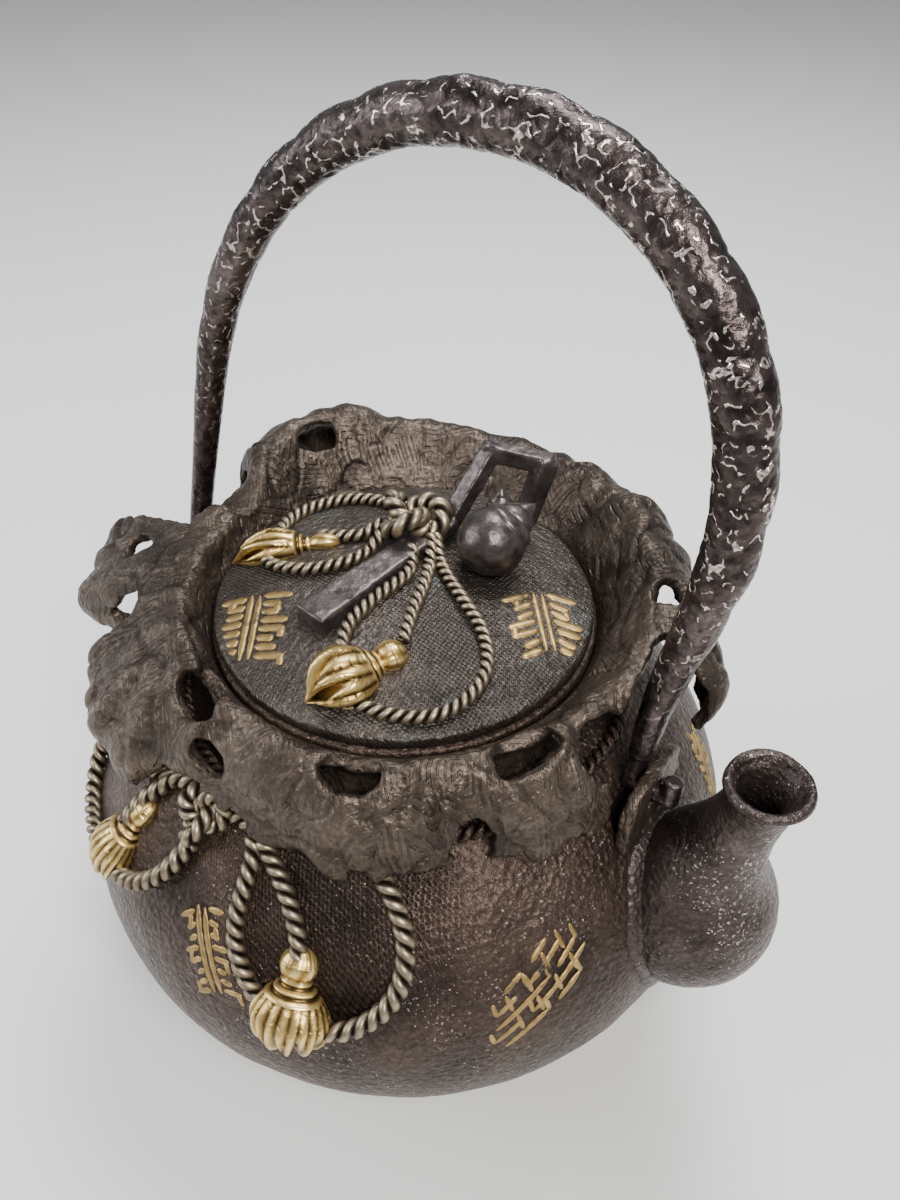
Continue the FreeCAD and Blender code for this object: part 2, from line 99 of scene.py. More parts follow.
def mesh_piece(name, points, faces, closed=True):
    """New object from point and face lists; a closed one gets its faces turned outwards."""
    mesh = bpy.data.meshes.new(name)
    mesh.from_pydata([tuple(p) for p in points], [], [tuple(f) for f in faces])
    mesh.validate()
    if closed:
        work = bmesh.new()
        work.from_mesh(mesh)
        bmesh.ops.recalc_face_normals(work, faces=work.faces)
        work.to_mesh(mesh)
        work.free()
    return add_object(name, mesh)


def grid_faces(rows, columns, wrap_rows, wrap_columns):
    """Quads between the points of a grid stored row by row."""
    i, j = np.meshgrid(np.arange(rows if wrap_rows else rows - 1),
                       np.arange(columns if wrap_columns else columns - 1), indexing="ij")
    i = i.ravel()
    j = j.ravel()
    k = (i + 1) % rows
    m = (j + 1) % columns
    return np.stack([i * columns + j, i * columns + m, k * columns + m, k * columns + j],
                    axis=1).tolist()


def tube_faces(rows, sides):
    """Quads of a tube stored ring by ring, with a flat cap at each end."""
    ring = list(range(sides))
    last = (rows - 1) * sides
    return grid_faces(rows, sides, False, True) + [ring[::-1], [last + j for j in ring]]


def turns(count):
    """Evenly spaced angles of a full turn."""
    return [2 * math.pi * j / count for j in range(count)]


def merge(parts):
    """One point list and one face list from several."""
    points = []
    faces = []
    for part_points, part_faces in parts:
        first = len(points)
        points.extend(part_points)
        faces.extend([[index + first for index in face] for face in part_faces])
    return points, faces


def apply_modifier(obj, kind, **values):
    """Add one modifier and make its result the mesh."""
    modifier = obj.modifiers.new(kind, kind)
    for key, value in values.items():
        setattr(modifier, key, value)
    evaluated = obj.evaluated_get(bpy.context.evaluated_depsgraph_get())
    mesh = bpy.data.meshes.new_from_object(evaluated)
    obj.modifiers.clear()
    old = obj.data
    obj.data = mesh
    bpy.data.meshes.remove(old)
    mesh.name = obj.name


def soften(obj, voxel, iterations):
    """Join a piece's parts into one skin with worn corners; the voxel is in millimetres."""
    apply_modifier(obj, "REMESH", mode="VOXEL", voxel_size=voxel * MM, use_smooth_shade=True)
    apply_modifier(obj, "SMOOTH", factor=0.6, iterations=iterations)


def vectors_of(obj, kind):
    """Every point's place ("co") or normal ("normal") as an array."""
    values = np.empty(len(obj.data.vertices) * 3)
    obj.data.vertices.foreach_get(kind, values)
    return values.reshape(-1, 3)


def mark(obj, name, values):
    """Store one number per point for the materials."""
    layer = obj.data.attributes.get(name) or obj.data.attributes.new(name, "FLOAT", "POINT")
    layer.data.foreach_set("value", np.asarray(values, dtype=np.float32))


def press(obj, height):
    """Move every point along its normal by height(point) millimetres, and keep it as an attribute."""
    places = vectors_of(obj, "co")
    lift = np.array([height(Vector(p)) for p in places])
    moved = places + vectors_of(obj, "normal") * lift[:, None] * MM
    obj.data.vertices.foreach_set("co", moved.ravel())
    obj.data.update()
    # The materials paint shade in the relief's low spots and highlight on its high spots.
    mark(obj, "relief", lift / max(1e-6, np.abs(lift).max()))


def octaves(point, size, count):
    """Layered noise about zero at a feature size in millimetres."""
    return noise.fractal(point / (size * MM), 1.0, 2.0, count, noise_basis="PERLIN_ORIGINAL")


def dress(obj, node, body, slot_name):
    """Finish a piece: name, smooth shading, material slot, body and the node that it stands for."""
    obj.data.polygons.foreach_set("use_smooth", [True] * len(obj.data.polygons))
    obj.name = "vis_" + node
    obj.data.name = obj.name
    obj.data.materials.clear()
    obj.data.materials.append(MATERIALS[slot_name])
    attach(obj, body)
    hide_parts(node)
    return obj


# ---- surfaces and curves

def body_place(azimuth, z, height=0.0):
    """Point above the pot's surface, by degrees round it and height in metres."""
    rise = (z - BODY_CENTRE_Z) / BODY_HALF_HEIGHT
    radius = BODY_RADIUS * math.sqrt(max(0.0, 1 - rise * rise))
    turn = math.radians(azimuth)
    side = Vector((math.cos(turn), math.sin(turn), 0))
    normal = side * (radius / BODY_RADIUS ** 2) + Vector((0, 0, rise / BODY_HALF_HEIGHT))
    return side * radius + Vector((0, 0, z)) + normal.normalized() * height


def lid_place(x, y, height=0.0):
    """Point above the lid's dome."""
    slope = 2 * LID_RISE / LID_RADIUS ** 2
    normal = Vector((slope * x, slope * y, 1)).normalized()
    return Vector((x, y, LID_EDGE_Z + LID_RISE - slope * (x * x + y * y) / 2)) + normal * height


# What relief is cast on. Places on the pot are degrees round it and millimetres up, and on the
# lid millimetres across and back.
Ground = namedtuple("Ground", "place body scale")
POT = Ground(body_place, "kettle", (1.0, MM))
LID = Ground(lid_place, "lid", (MM, MM))


def scaled(ground, point):
    """A ground's two numbers in the units of its place function."""
    return point[0] * ground.scale[0], point[1] * ground.scale[1]


def upright(place, u, v):
    """Direction straight up from a surface."""
    return (place(u, v, 1.0) - place(u, v, 0.0)).normalized()


def spline(knots, i, t):
    """Point of a smooth curve between the knots i + 1 and i + 2."""
    a, b, c, d = knots[i:i + 4]
    return 0.5 * (2 * b + (c - a) * t + (2 * a - 5 * b + 4 * c - d) * t * t
                  + (3 * b - a - 3 * c + d) * t ** 3)


def curve_through(route, per_run):
    """Points of a smooth curve through a few places."""
    route = [np.array(p, dtype=float) for p in route]
    padded = [2 * route[0] - route[1]] + route + [2 * route[-1] - route[-2]]
    samples = [spline(padded, i, t) for i in range(len(route) - 1)
               for t in np.linspace(0, 1, per_run, endpoint=False)]
    return np.array(samples + [route[-1]])


def run_lengths(points):
    """Length along a path at each of its points."""
    steps = np.linalg.norm(np.diff(np.array(points), axis=0), axis=1)
    return np.concatenate([[0], np.cumsum(steps)])


def along_surface(place, route, height, step=0.5):
    """Evenly spaced points at a height over a surface, with its normals; the step is in millimetres."""
    flat = curve_through(route, 24)
    lengths = run_lengths([place(u, v) for u, v in flat])
    even = np.linspace(0, lengths[-1], max(3, int(lengths[-1] / (step * MM)) + 1))
    places = list(zip(np.interp(even, lengths, flat[:, 0]), np.interp(even, lengths, flat[:, 1])))
    return [place(u, v, height) for u, v in places], [upright(place, u, v) for u, v in places], even


def side_frames(centre, normal):
    """Directions across and up at each point of a path over a surface."""
    frames = []
    last = len(centre) - 1
    for i in range(len(centre)):
        along = (centre[min(i + 1, last)] - centre[max(i - 1, 0)]).normalized()
        across = along.cross(normal[i]).normalized()
        frames.append((across, across.cross(along).normalized()))
    return frames


# ---- cords

def twisted(name, paths, half):
    """Object of twisted cord: two strands that wind round each path of centres, normals, lengths."""
    strand = 0.60 * half
    pitch = 2.8 * half
    sides = 12
    parts = []
    for centre, normal, even in paths:
        frames = side_frames(centre, normal)
        for half_turn in (0, 0.5):
            points = []
            for middle, (across, up), s in zip(centre, frames, even):
                turn = 2 * math.pi * (s / pitch + half_turn)
                out = across * math.cos(turn) + up * math.sin(turn)
                around = up * math.cos(turn) - across * math.sin(turn)
                points += [middle + out * (half - strand) + out * (0.92 * strand * math.cos(a))
                           + around * (1.12 * strand * math.sin(a)) for a in turns(sides)]
            parts.append((points, tube_faces(len(centre), sides)))
    obj = mesh_piece(name, *merge(parts))
    middles = np.array([tuple(c) for centre, _, _ in paths for c in centre])
    places = vectors_of(obj, "co")
    nearest = np.full(len(places), np.inf)
    batch = 64
    for start in range(0, len(middles), batch):
        gaps = np.linalg.norm(places[:, None, :] - middles[None, start:start + batch, :], axis=2)
        nearest = np.minimum(nearest, gaps.min(axis=1))
    # Relief for the materials: low between the strands, where they are painted shade, and high on the
    # strands' crowns, where they get painted highlight.
    mark(obj, "relief", np.clip((nearest / half - 0.62) / 0.4, 0, 1) * 2 - 1)
    return obj


def cord_rise(u, v):
    """Extra height of the lid's cords where they climb onto the key's shaft and into the knot."""
    reach = math.hypot(u + 6.5 * MM, v - 12 * MM) / (11 * MM)
    return 4.2 * MM * max(0.0, 1 - reach) ** 0.8


def cast_cord(node, ground, routes, half, lift=0.72, slot_name="cord_metal"):
    """Twisted cord cast on the pot or the lid along one or more routes."""
    def above(u, v, height=0.0):
        return ground.place(u, v, height + (cord_rise(u, v) if ground is LID else 0.0))

    half = half * MM
    paths = [along_surface(above, [scaled(ground, p) for p in route], half * lift) for route in routes]
    return dress(twisted(node, paths, half), node, ground.body, slot_name)


# ---- materials

class Nodes:
    """One new material, with short ways to add nodes and join them."""

    def __init__(self, name):
        self.material = bpy.data.materials.new(name)
        self.material.use_nodes = True
        self.tree = self.material.node_tree
        self.place = self.node("ShaderNodeTexCoord").outputs["Object"]

    def node(self, kind, **values):
        """New node; each value names an input or a setting."""
        made = self.tree.nodes.new(kind)
        for key, value in values.items():
            if key in made.inputs:
                made.inputs[key].default_value = value
            else:
                setattr(made, key, value)
        return made

    def feed(self, target, value):
        """Join a socket to an input, or set the input to a number or a colour."""
        if hasattr(value, "is_linked"):
            self.tree.links.new(value, target)
        else:
            target.default_value = (*value, 1) if isinstance(value, tuple) else value

    def attribute(self, name):
        return self.node("ShaderNodeAttribute", attribute_name=name).outputs["Fac"]

    def ramp(self, source, stops):
        """Colour ramp over a number."""
        made = self.node("ShaderNodeValToRGB")
        elements = made.color_ramp.elements
        while len(elements) < len(stops):
            elements.new(0.5)
        for element, (place, colour) in zip(elements, stops):
            element.position = place
            element.color = (*colour, 1)
        self.feed(made.inputs[0], source)
        return made.outputs[0]

    def span(self, source, low, high, to_low=0.0, to_high=1.0):
        """Map a number from one range to another."""
        made = self.node("ShaderNodeMapRange")
        for key, value in zip(("From Min", "From Max", "To Min", "To Max"), (low, high, to_low, to_high)):
            made.inputs[key].default_value = value
        self.feed(made.inputs["Value"], source)
        return made.outputs["Result"]

    def mix(self, factor, first, second, mode="MIX"):
        """Mix two colours; the node's colour inputs are sockets 6 and 7, and its output socket 2."""
        made = self.node("ShaderNodeMix", data_type="RGBA", blend_type=mode)
        for index, value in ((0, factor), (6, first), (7, second)):
            self.feed(made.inputs[index], value)
        return made.outputs[2]

    def maths(self, operation, first, second=0.0, clamp=False):
        """One arithmetic step."""
        made = self.node("ShaderNodeMath", operation=operation, use_clamp=clamp)
        self.feed(made.inputs[0], first)
        self.feed(made.inputs[1], second)
        return made.outputs[0]

    def plus(self, first, second):
        return self.maths("ADD", first, second)

    def minus(self, first, second):
        return self.maths("SUBTRACT", first, second)

    def times(self, first, second, clamp=False):
        return self.maths("MULTIPLY", first, second, clamp)

    def waves(self, value, pitch):
        return self.maths("SINE", self.times(value, 2 * math.pi / pitch))

    def texture(self, kind, **values):
        """Outputs of a texture over the object's own coordinates."""
        made = self.node(kind, **values)
        self.feed(made.inputs["Vector"], self.place)
        return made.outputs

    def noise(self, scale, detail, rough):
        return self.texture("ShaderNodeTexNoise", Scale=scale, Detail=detail, Roughness=rough)["Fac"]

    def bent_place(self, scale, detail, amount):
        """The object's coordinates x, y and z, bent by a slow noise."""
        swirl = self.texture("ShaderNodeTexNoise", Scale=scale, Detail=detail)
        bent = self.node("ShaderNodeVectorMath", operation="MULTIPLY_ADD")
        self.feed(bent.inputs[0], swirl["Color"])
        bent.inputs[1].default_value = (amount, amount, amount)
        self.feed(bent.inputs[2], self.place)
        split = self.node("ShaderNodeSeparateXYZ")
        self.feed(split.inputs[0], bent.outputs[0])
        return split.outputs

    def finish(self, colour, roughness, metal, height, strength, distance):
        """Join the results to the shader."""
        shader = self.tree.nodes["Principled BSDF"]
        self.feed(shader.inputs["Base Color"], colour)
        self.feed(shader.inputs["Roughness"], roughness)
        shader.inputs["Metallic"].default_value = metal
        bump = self.node("ShaderNodeBump", Strength=strength, Distance=distance)
        self.feed(bump.inputs["Height"], height)
        self.feed(shader.inputs["Normal"], bump.outputs["Normal"])
        return self.material


def brocade(n):
    """Engraved key-fret lines, as pressed into stiff cloth: nested broken squares on a bent grid."""
    cell = 7.2 * MM
    x, y, _ = n.bent_place(55.0, 1.0, 9 * MM)
    ring = n.maths("MAXIMUM", n.maths("PINGPONG", n.plus(x, y), cell),
                   n.maths("PINGPONG", n.minus(x, y), cell))
    lines = n.span(n.waves(ring, 1.65 * MM), 0.30, 0.85)
    breaks = n.span(n.noise(330.0, 2.0, 0.5), 0.40, 0.52)
    fade = n.span(n.noise(60.0, 3.0, 0.6), 0.38, 0.58, 0.25, 1.0)
    return n.times(n.times(lines, fade), breaks)


def woven(n, least=0.05):
    """Dimples in diagonal rows, as in coarse cloth, strongest in broad patches."""
    x, y, z = n.bent_place(90.0, 2.0, 1.2 * MM)
    lean = n.plus(x, n.times(z, 0.6))
    threads = n.times(n.waves(n.plus(lean, y), 1.65 * MM), n.waves(n.minus(lean, y), 1.85 * MM))
    fade = n.span(n.noise(24.0, 2.0, 0.5), 0.44, 0.58, least, max(0.8, least))
    return n.times(n.span(threads, 0.0, 0.8), fade)


def patch_of_cloth(n, middle):
    """Woven dimples that fade out round a point."""
    reach = n.node("ShaderNodeVectorMath", operation="DISTANCE")
    n.feed(reach.inputs[0], n.place)
    reach.inputs[1].default_value = middle
    return n.times(woven(n, 0.95), n.span(reach.outputs["Value"], 12 * MM, 34 * MM, 1.0, 0.0))


def iron(name, dark, mid, light, grain, grain_depth, rough, metal=0.75, flecks_and_glints=None, fleck_amount=0.0,
         chips_and_glints=None, patch=None, pattern=None, patina_and_sheen=None):
    """Cast iron: mottled, grainy; raised spots lighter (rubbed wear, painted highlight), low spots painted
    shade; optional specks.
    """
    n = Nodes(name)

    def darker(share):
        return tuple(share * c for c in dark)

    sand = n.noise(grain, 3.0, 0.65)
    cells = n.texture("ShaderNodeTexVoronoi", Scale=grain * 0.75)
    relief = n.attribute("relief")
    colour = n.ramp(n.noise(38.0, 5.0, 0.62), [(0.32, dark), (0.52, mid), (0.72, light)])
    # Raised spots of the relief are painted lighter: partly rubbed wear, partly painted highlight.
    colour = n.mix(n.times(n.span(relief, -0.7, 0.9), 0.55, True), colour, light)
    shade = n.span(sand, 0.3, 0.7, 0.62, 1.25)
    grey = n.node("ShaderNodeCombineColor")
    for channel in range(3):
        n.feed(grey.inputs[channel], shade)
    colour = n.mix(1.0, colour, grey.outputs[0], "MULTIPLY")
    # Low spots of the relief (dents, creases, grooves between cord strands) are painted darker: painted
    # shade.
    colour = n.mix(n.span(relief, -1.0, -0.15, 0.55, 0.0), colour, darker(0.35))
    height = n.plus(sand, n.times(cells["Distance"], 0.7))
    engraved = []
    if pattern:
        engraved.append((pattern(n), 0.32, 0.45))
    if patch:
        engraved.append((patch_of_cloth(n, patch), 0.35, 0.5))
    # Engraved lines and cloth dimples are sunk in the bump and painted darker as well: painted shade in
    # their grooves.
    for lines, amount, share in engraved:
        height = n.minus(height, n.times(lines, 1.1))
        colour = n.mix(n.times(lines, amount, True), colour, darker(share))
    # Cool blue-grey patches: tarnish of the iron, and painted cool sheen.
    if patina_and_sheen:
        colour = n.mix(n.span(n.noise(70.0, 6.0, 0.7), 0.58, 0.70, 0.0, 0.5), colour, patina_and_sheen)
    fleck_and_glint = None
    # Bright specks with lower roughness: partly real specks in the iron, partly painted glints.
    if flecks_and_glints:
        gate = n.span(n.noise(60.0, 3.0, 0.6), 0.42, 0.62, 0.0, 0.10)
        fleck_and_glint = n.span(n.plus(n.noise(1500.0, 2.0, 0.5), gate), 0.735 - fleck_amount,
                       0.765 - fleck_amount)
        colour = n.mix(fleck_and_glint, colour, flecks_and_glints)
    # Bright crescent nicks on the worn parts, raised in the bump: partly real nicks, partly painted glints
    # where they catch light.
    if chips_and_glints:
        stroke = n.span(n.maths("ABSOLUTE", n.minus(n.noise(300.0, 1.0, 0.4), 0.5)), 0.018, 0.042, 1.0, 0.0)
        lot = n.span(n.noise(560.0, 1.0, 0.4), 0.50, 0.55)
        fleck_and_glint = n.times(n.times(stroke, lot), n.attribute("wear"))
        colour = n.mix(fleck_and_glint, colour, chips_and_glints)
        height = n.plus(height, n.times(fleck_and_glint, 1.3))
    roughness = n.span(sand, 0.25, 0.75, rough[1], rough[0])
    if fleck_and_glint is not None:
        roughness = n.minus(roughness, n.times(fleck_and_glint, 0.12))
    return n.finish(colour, roughness, metal, height, grain_depth, 0.4 * MM)


def gilt(name, groove, body, crown, rough=(0.25, 0.45), worn=None, scale=300.0):
    """Metal coloured from the relief attribute: grooves painted dark (painted shade), crowns bright (rubbed
    wear and painted highlight).
    """
    n = Nodes(name)
    speck = n.noise(scale, 4.0, 0.65)
    level = n.plus(n.span(n.attribute("relief"), -1.0, 1.0), n.span(speck, 0.3, 0.7, -0.16, 0.16))
    # Painted shade in the grooves; painted highlight and rubbed wear on the crowns.
    colour = n.ramp(level, [(0.10, groove), (0.52, body), (0.88, crown)])
    if worn:
        colour = n.mix(n.span(n.noise(110.0, 5.0, 0.7), 0.57, 0.65), colour, worn)
    return n.finish(colour, n.span(speck, 0.25, 0.75, rough[1], rough[0]), 0.9, speck, 0.25, 0.2 * MM)


MATERIALS = {
    "body_iron": iron("body_iron", (0.015, 0.0088, 0.0066), (0.042, 0.026, 0.0195),
                      (0.105, 0.070, 0.053), 820.0, 1.1, (0.30, 0.56),
                      flecks_and_glints=(0.30, 0.26, 0.23), patch=(0.024, -0.062, 0.084)),
    "spout_iron": iron("spout_iron", (0.020, 0.013, 0.011), (0.052, 0.036, 0.031), (0.13, 0.10, 0.09),
                       900.0, 0.95, (0.26, 0.52), flecks_and_glints=(0.42, 0.38, 0.36), fleck_amount=0.015),
    "frill_iron": iron("frill_iron", (0.022, 0.015, 0.011), (0.062, 0.044, 0.033),
                       (0.150, 0.115, 0.088), 800.0, 0.75, (0.32, 0.56), pattern=brocade),
    "lid_iron": iron("lid_iron", (0.021, 0.0155, 0.0125), (0.052, 0.041, 0.034),
                     (0.115, 0.095, 0.080), 900.0, 0.9, (0.28, 0.50), pattern=woven,
                     patina_and_sheen=(0.13, 0.145, 0.135)),
    "key_iron": iron("key_iron", (0.030, 0.024, 0.023), (0.078, 0.064, 0.060), (0.17, 0.14, 0.135),
                     700.0, 0.3, (0.24, 0.44)),
    "handle_iron": iron("handle_iron", (0.018, 0.012, 0.011), (0.052, 0.037, 0.034),
                        (0.15, 0.12, 0.112), 900.0, 0.45, (0.22, 0.42), 0.85,
                        chips_and_glints=(0.62, 0.53, 0.49)),
    "cord_metal": gilt("cord_metal", (0.060, 0.046, 0.034), (0.185, 0.145, 0.102),
                       (0.40, 0.325, 0.225), (0.34, 0.54)),
    "tassel_gilt": gilt("tassel_gilt", (0.070, 0.040, 0.013), (0.44, 0.29, 0.09),
                        (0.82, 0.60, 0.25), (0.26, 0.46)),
    "inlay_gold": gilt("inlay_gold", (0.15, 0.10, 0.045), (0.38, 0.255, 0.10), (0.62, 0.44, 0.20),
                       (0.36, 0.58), (0.055, 0.045, 0.040), 420.0),
    "rivet_brass": gilt("rivet_brass", (0.10, 0.07, 0.04), (0.30, 0.20, 0.10), (0.50, 0.36, 0.20)),
}


# ---- pot

def turned(profile, columns):
    """Points and faces of a profile of (radius, z) turned round the upright axis, closed in a ring."""
    angles = np.linspace(0, 2 * math.pi, columns, endpoint=False)
    profile = np.array(profile)
    points = np.stack([np.outer(profile[:, 0], np.cos(angles)), np.outer(profile[:, 0], np.sin(angles)),
                       np.repeat(profile[:, 1][:, None], columns, axis=1)], axis=2).reshape(-1, 3)
    return points, grid_faces(len(profile), columns, True, True)


def fill_profile(corners, step):
    """Profile with points added along its straight runs."""
    filled = []
    for a, b in zip(corners, corners[1:]):
        count = max(1, int(math.dist(a, b) / step))
        filled += [tuple(np.array(a) + (np.array(b) - np.array(a)) * i / count) for i in range(count)]
    return filled + [corners[-1]]


def spheroid_profile(shrink, low_z, high_radius, step):
    """Profile of the pot's round wall from a height up to a radius near the neck."""
    radius = BODY_RADIUS - shrink
    half = BODY_HALF_HEIGHT - shrink
    start = math.asin((low_z - BODY_CENTRE_Z) / half)
    end = math.acos(high_radius / radius)
    return [(radius * math.cos(a), BODY_CENTRE_Z + half * math.sin(a))
            for a in np.linspace(start, end, int((end - start) * radius / step))]


def pot_body():
    """Hollow pot with its base, neck, lid seat and the wall hole to the spout."""
    step = 0.95 * MM
    middle = 0.05 * MM
    ease = 0.5 * MM
    outer = spheroid_profile(0.0, 0.6 * MM, NECK_RADIUS, step)
    inner = spheroid_profile(WALL, FLOOR_THICKNESS + ease, MOUTH_RADIUS, 2.2 * step)
    base = [(middle, 0.0), (outer[0][0] - 2 * MM, 0.0), (outer[0][0] - 0.7 * MM, 0.15 * MM)]
    neck = [(NECK_RADIUS, outer[-1][1] + ease), (NECK_RADIUS, SEAT_Z - ease), (NECK_RADIUS - ease, SEAT_Z),
            (MOUTH_RADIUS + ease, SEAT_Z), (MOUTH_RADIUS, SEAT_Z - ease),
            (MOUTH_RADIUS, inner[-1][1] + ease)]
    floor = [(inner[0][0] - 1.0 * MM, FLOOR_THICKNESS), (middle, FLOOR_THICKNESS)]
    profile = (fill_profile(base, 3 * MM) + outer + fill_profile(neck, 1.2 * MM) + inner[::-1]
               + fill_profile(floor, 3 * MM))
    obj = mesh_piece("pot", *turned(profile, 480))
    reach = 12 * MM
    cutter = mesh_piece("cutter", *turned([(0.01 * MM, -reach), (POUR_HOLE_RADIUS, -reach),
                                           (POUR_HOLE_RADIUS, reach), (0.01 * MM, reach)], 48))
    cutter.matrix_world = Matrix.Translation(POUR_HOLE_AT) @ Matrix.Rotation(math.pi / 2, 4, "Y")
    bpy.context.view_layer.update()
    apply_modifier(obj, "BOOLEAN", operation="DIFFERENCE", object=cutter, solver="EXACT")
    bpy.data.objects.remove(cutter)
    flat = 1.5 * MM
    press(obj, lambda p: 0.05 * octaves(p, 2.4, 2) + 0.30 * octaves(p, 14, 2)
          if flat < p.z < SEAT_Z - flat else 0.0)
    return dress(obj, "kettle_body", "kettle", "body_iron")


# ---- spout

# Centre x and z, radius and tilt of the spout's round sections, in millimetres and degrees.
SPOUT_SECTIONS = [
    (75.0, 47.5, 5.0, 0), (77.0, 50.5, 11.8, 0), (78.5, 57, 16.4, 0), (79.3, 66, 18.7, 0),
    (79.8, 76, 17.2, 2), (81.0, 86.5, 12.2, 9), (83.8, 97, 8.3, 13), (86.2, 106, 7.0, 9),
    (87.3, 111.5, 7.7, 2), (87.7, 114.1, 9.1, 0),
]
# Reach of the flange's rings from the spout's middle and their lift off the pot, in millimetres.
FLANGE_RINGS = [(9, 2.6), (12, 2.6), (15, 2.4), (17, 1.8), (18.5, 1.35), (19.7, 1.05), (20.8, 0.85),
                (21.6, 0.5), (22.0, -0.4)]
SPOUT_WALL = 2.2
SPOUT_SIDES = 96


def into_wall(p):
    """Keep a point from standing inside the pot: move it out to just under the pot's surface."""
    inside = math.hypot(math.hypot(p.x, p.y) / BODY_RADIUS, (p.z - BODY_CENTRE_Z) / BODY_HALF_HEIGHT)
    if inside >= 1.0:
        return p
    z = min(max(p.z, 2 * MM), 110 * MM)
    return body_place(math.degrees(math.atan2(p.y, p.x)), z, -1.2 * MM)


def spout_piece():
    """Hollow bulbous spout with a thick rolled lip and a lapped flange on the pot."""
    rows = list(curve_through(SPOUT_SECTIONS, 14))
    x, z, radius, tilt = SPOUT_SECTIONS[-1]
    rim = [(x, z + 0.9, radius - 0.3, tilt), (x, z + 1.2, radius - 1.1, tilt),
           (x, z + 0.8, radius - 1.9, tilt)]
    inner = [(x, z, max(0.5, radius - SPOUT_WALL), tilt) for x, z, radius, tilt in rows[::-1]]
    rings = rows + rim + inner
    points = []
    for x, z, radius, tilt in rings:
        lean = math.radians(tilt)
        across = Vector((math.cos(lean), 0, -math.sin(lean)))
        for turn in turns(SPOUT_SIDES):
            p = Vector((x, 0, z)) + (across * math.cos(turn) + Vector((0, math.sin(turn), 0))) * radius
            points.append(into_wall(p * MM))
    body = (points, grid_faces(len(rings), SPOUT_SIDES, True, True))
    pad = []
    pad_rings = FLANGE_RINGS + [(reach, -1.0) for reach, _ in FLANGE_RINGS[::-1]]
    for reach, lift in pad_rings:
        for turn in turns(SPOUT_SIDES):
            wobble = 1 + 0.03 * math.sin(3 * turn + 1) + 0.02 * math.sin(7 * turn)
            z = POUR_HOLE_AT[2] + reach * wobble * math.sin(turn) * MM * 0.96
            ring = BODY_RADIUS * math.sqrt(max(0.05, 1 - ((z - BODY_CENTRE_Z) / BODY_HALF_HEIGHT) ** 2))
            side = reach * wobble * math.cos(turn) * MM
            pad.append(body_place(math.degrees(side / ring), z, lift * MM))
    flange = (pad, grid_faces(len(pad_rings), SPOUT_SIDES, True, True))
    obj = mesh_piece("spout", *merge([body, flange]))
    press(obj, lambda p: 0.09 * octaves(p, 1.6, 2) + 0.22 * octaves(p, 9, 2))
    return dress(obj, "spout", "kettle", "spout_iron")


# ---- frill

# Angle, crest radius and height, edge radius and height, in degrees and millimetres.
FRILL_LOBES = [
    (-180, 50, 121, 72, 113), (-174, 52, 123, 83, 112), (-166, 51, 122, 84, 107),
    (-157, 51, 122, 82, 105), (-151, 51, 121, 66, 110), (-146, 51, 121, 64, 110),
    (-140, 51, 120, 71, 104), (-130, 51, 120, 72.5, 100), (-119, 51, 119, 69, 98),
    (-112, 50, 118, 60, 103), (-103, 49, 118, 57, 104), (-93, 49, 118, 57, 102),
    (-84, 50, 119, 58, 101), (-74, 50, 118.5, 57.5, 102), (-64, 51, 119, 61, 99),
    (-55, 50.5, 118.5, 59, 101), (-47, 50, 118, 58.5, 102), (-41, 49, 117.5, 56, 104),
    (-35, 50, 118, 58, 101), (-27, 51, 119, 61.5, 99), (-14, 52, 119.5, 61.5, 99),
    (-5, 53, 120, 62, 103), (4, 56, 123, 66, 108), (13, 58, 128, 72, 116), (26, 56, 129, 68, 117),
    (40, 54, 130, 64, 120), (57, 56, 129, 65, 119), (68, 58, 126, 72, 109), (80, 59, 125, 66, 115),
    (92, 60, 124, 74, 107), (105, 60, 124.5, 67, 114), (118, 60, 125.5, 75, 108),
    (130, 60, 127, 69, 117), (141, 61, 131, 75, 116), (153, 60, 131, 73, 119), (164, 56, 129, 66, 119),
    (172, 51, 124, 59, 114), (180, 50, 121, 72, 113),
]
# Holes, then bites out of the free edge: angle, place along the sheet from root to edge, and half
# width round and along it, in millimetres.
FRILL_GAPS = [
    (-163, 0.60, 3.6, 2.3), (-110, 0.44, 6.2, 3.9), (-100, 0.66, 3.8, 3.4), (-65.5, 0.42, 6.2, 3.3),
    (-26.5, 0.42, 7.2, 3.4), (-9, 0.56, 5.6, 6.4), (24, 0.45, 3.4, 2.6), (150, 0.34, 4.6, 2.6),
    (-40.5, 0.90, 4.2, 5.6), (-149, 0.97, 4.8, 8.5), (-90, 0.98, 2.2, 1.8), (-62, 0.98, 1.8, 2.4),
    (-20, 0.98, 2.4, 2.2), (56, 0.96, 3.2, 4.4), (80, 0.94, 4.0, 6.2), (105, 0.95, 4.8, 7.2),
    (130, 0.96, 3.6, 5.6),
]
# Places along the sheet of its foot, root, rise, crest, fall, edge and curl.
FRILL_MARKS = [0.0, 0.14, 0.25, 0.40, 0.62, 0.84, 1.0]
FRILL_THICKNESS = 3.1 * MM
# Notches for the handle's legs: where they begin in x, their middle in y and their half width.
LEG_NOTCH_X = 57 * MM
LEG_NOTCH_Y = 0.75 * MM
LEG_NOTCH_HALF = 10.75 * MM
# Stands for a point far from every gap, and the degrees beyond which a gap isn't looked at.
NO_GAP = 9.0
GAP_REACH = 16


def frill_numbers(angle):
    """Crest and edge of the frill at an angle, in millimetres."""
    for start, end in zip(FRILL_LOBES, FRILL_LOBES[1:]):
        if start[0] <= angle <= end[0]:
            t = (angle - start[0]) / (end[0] - start[0])
            ease = t * t * (3 - 2 * t)
            return [start[k] + (end[k] - start[k]) * ease for k in range(1, 5)]


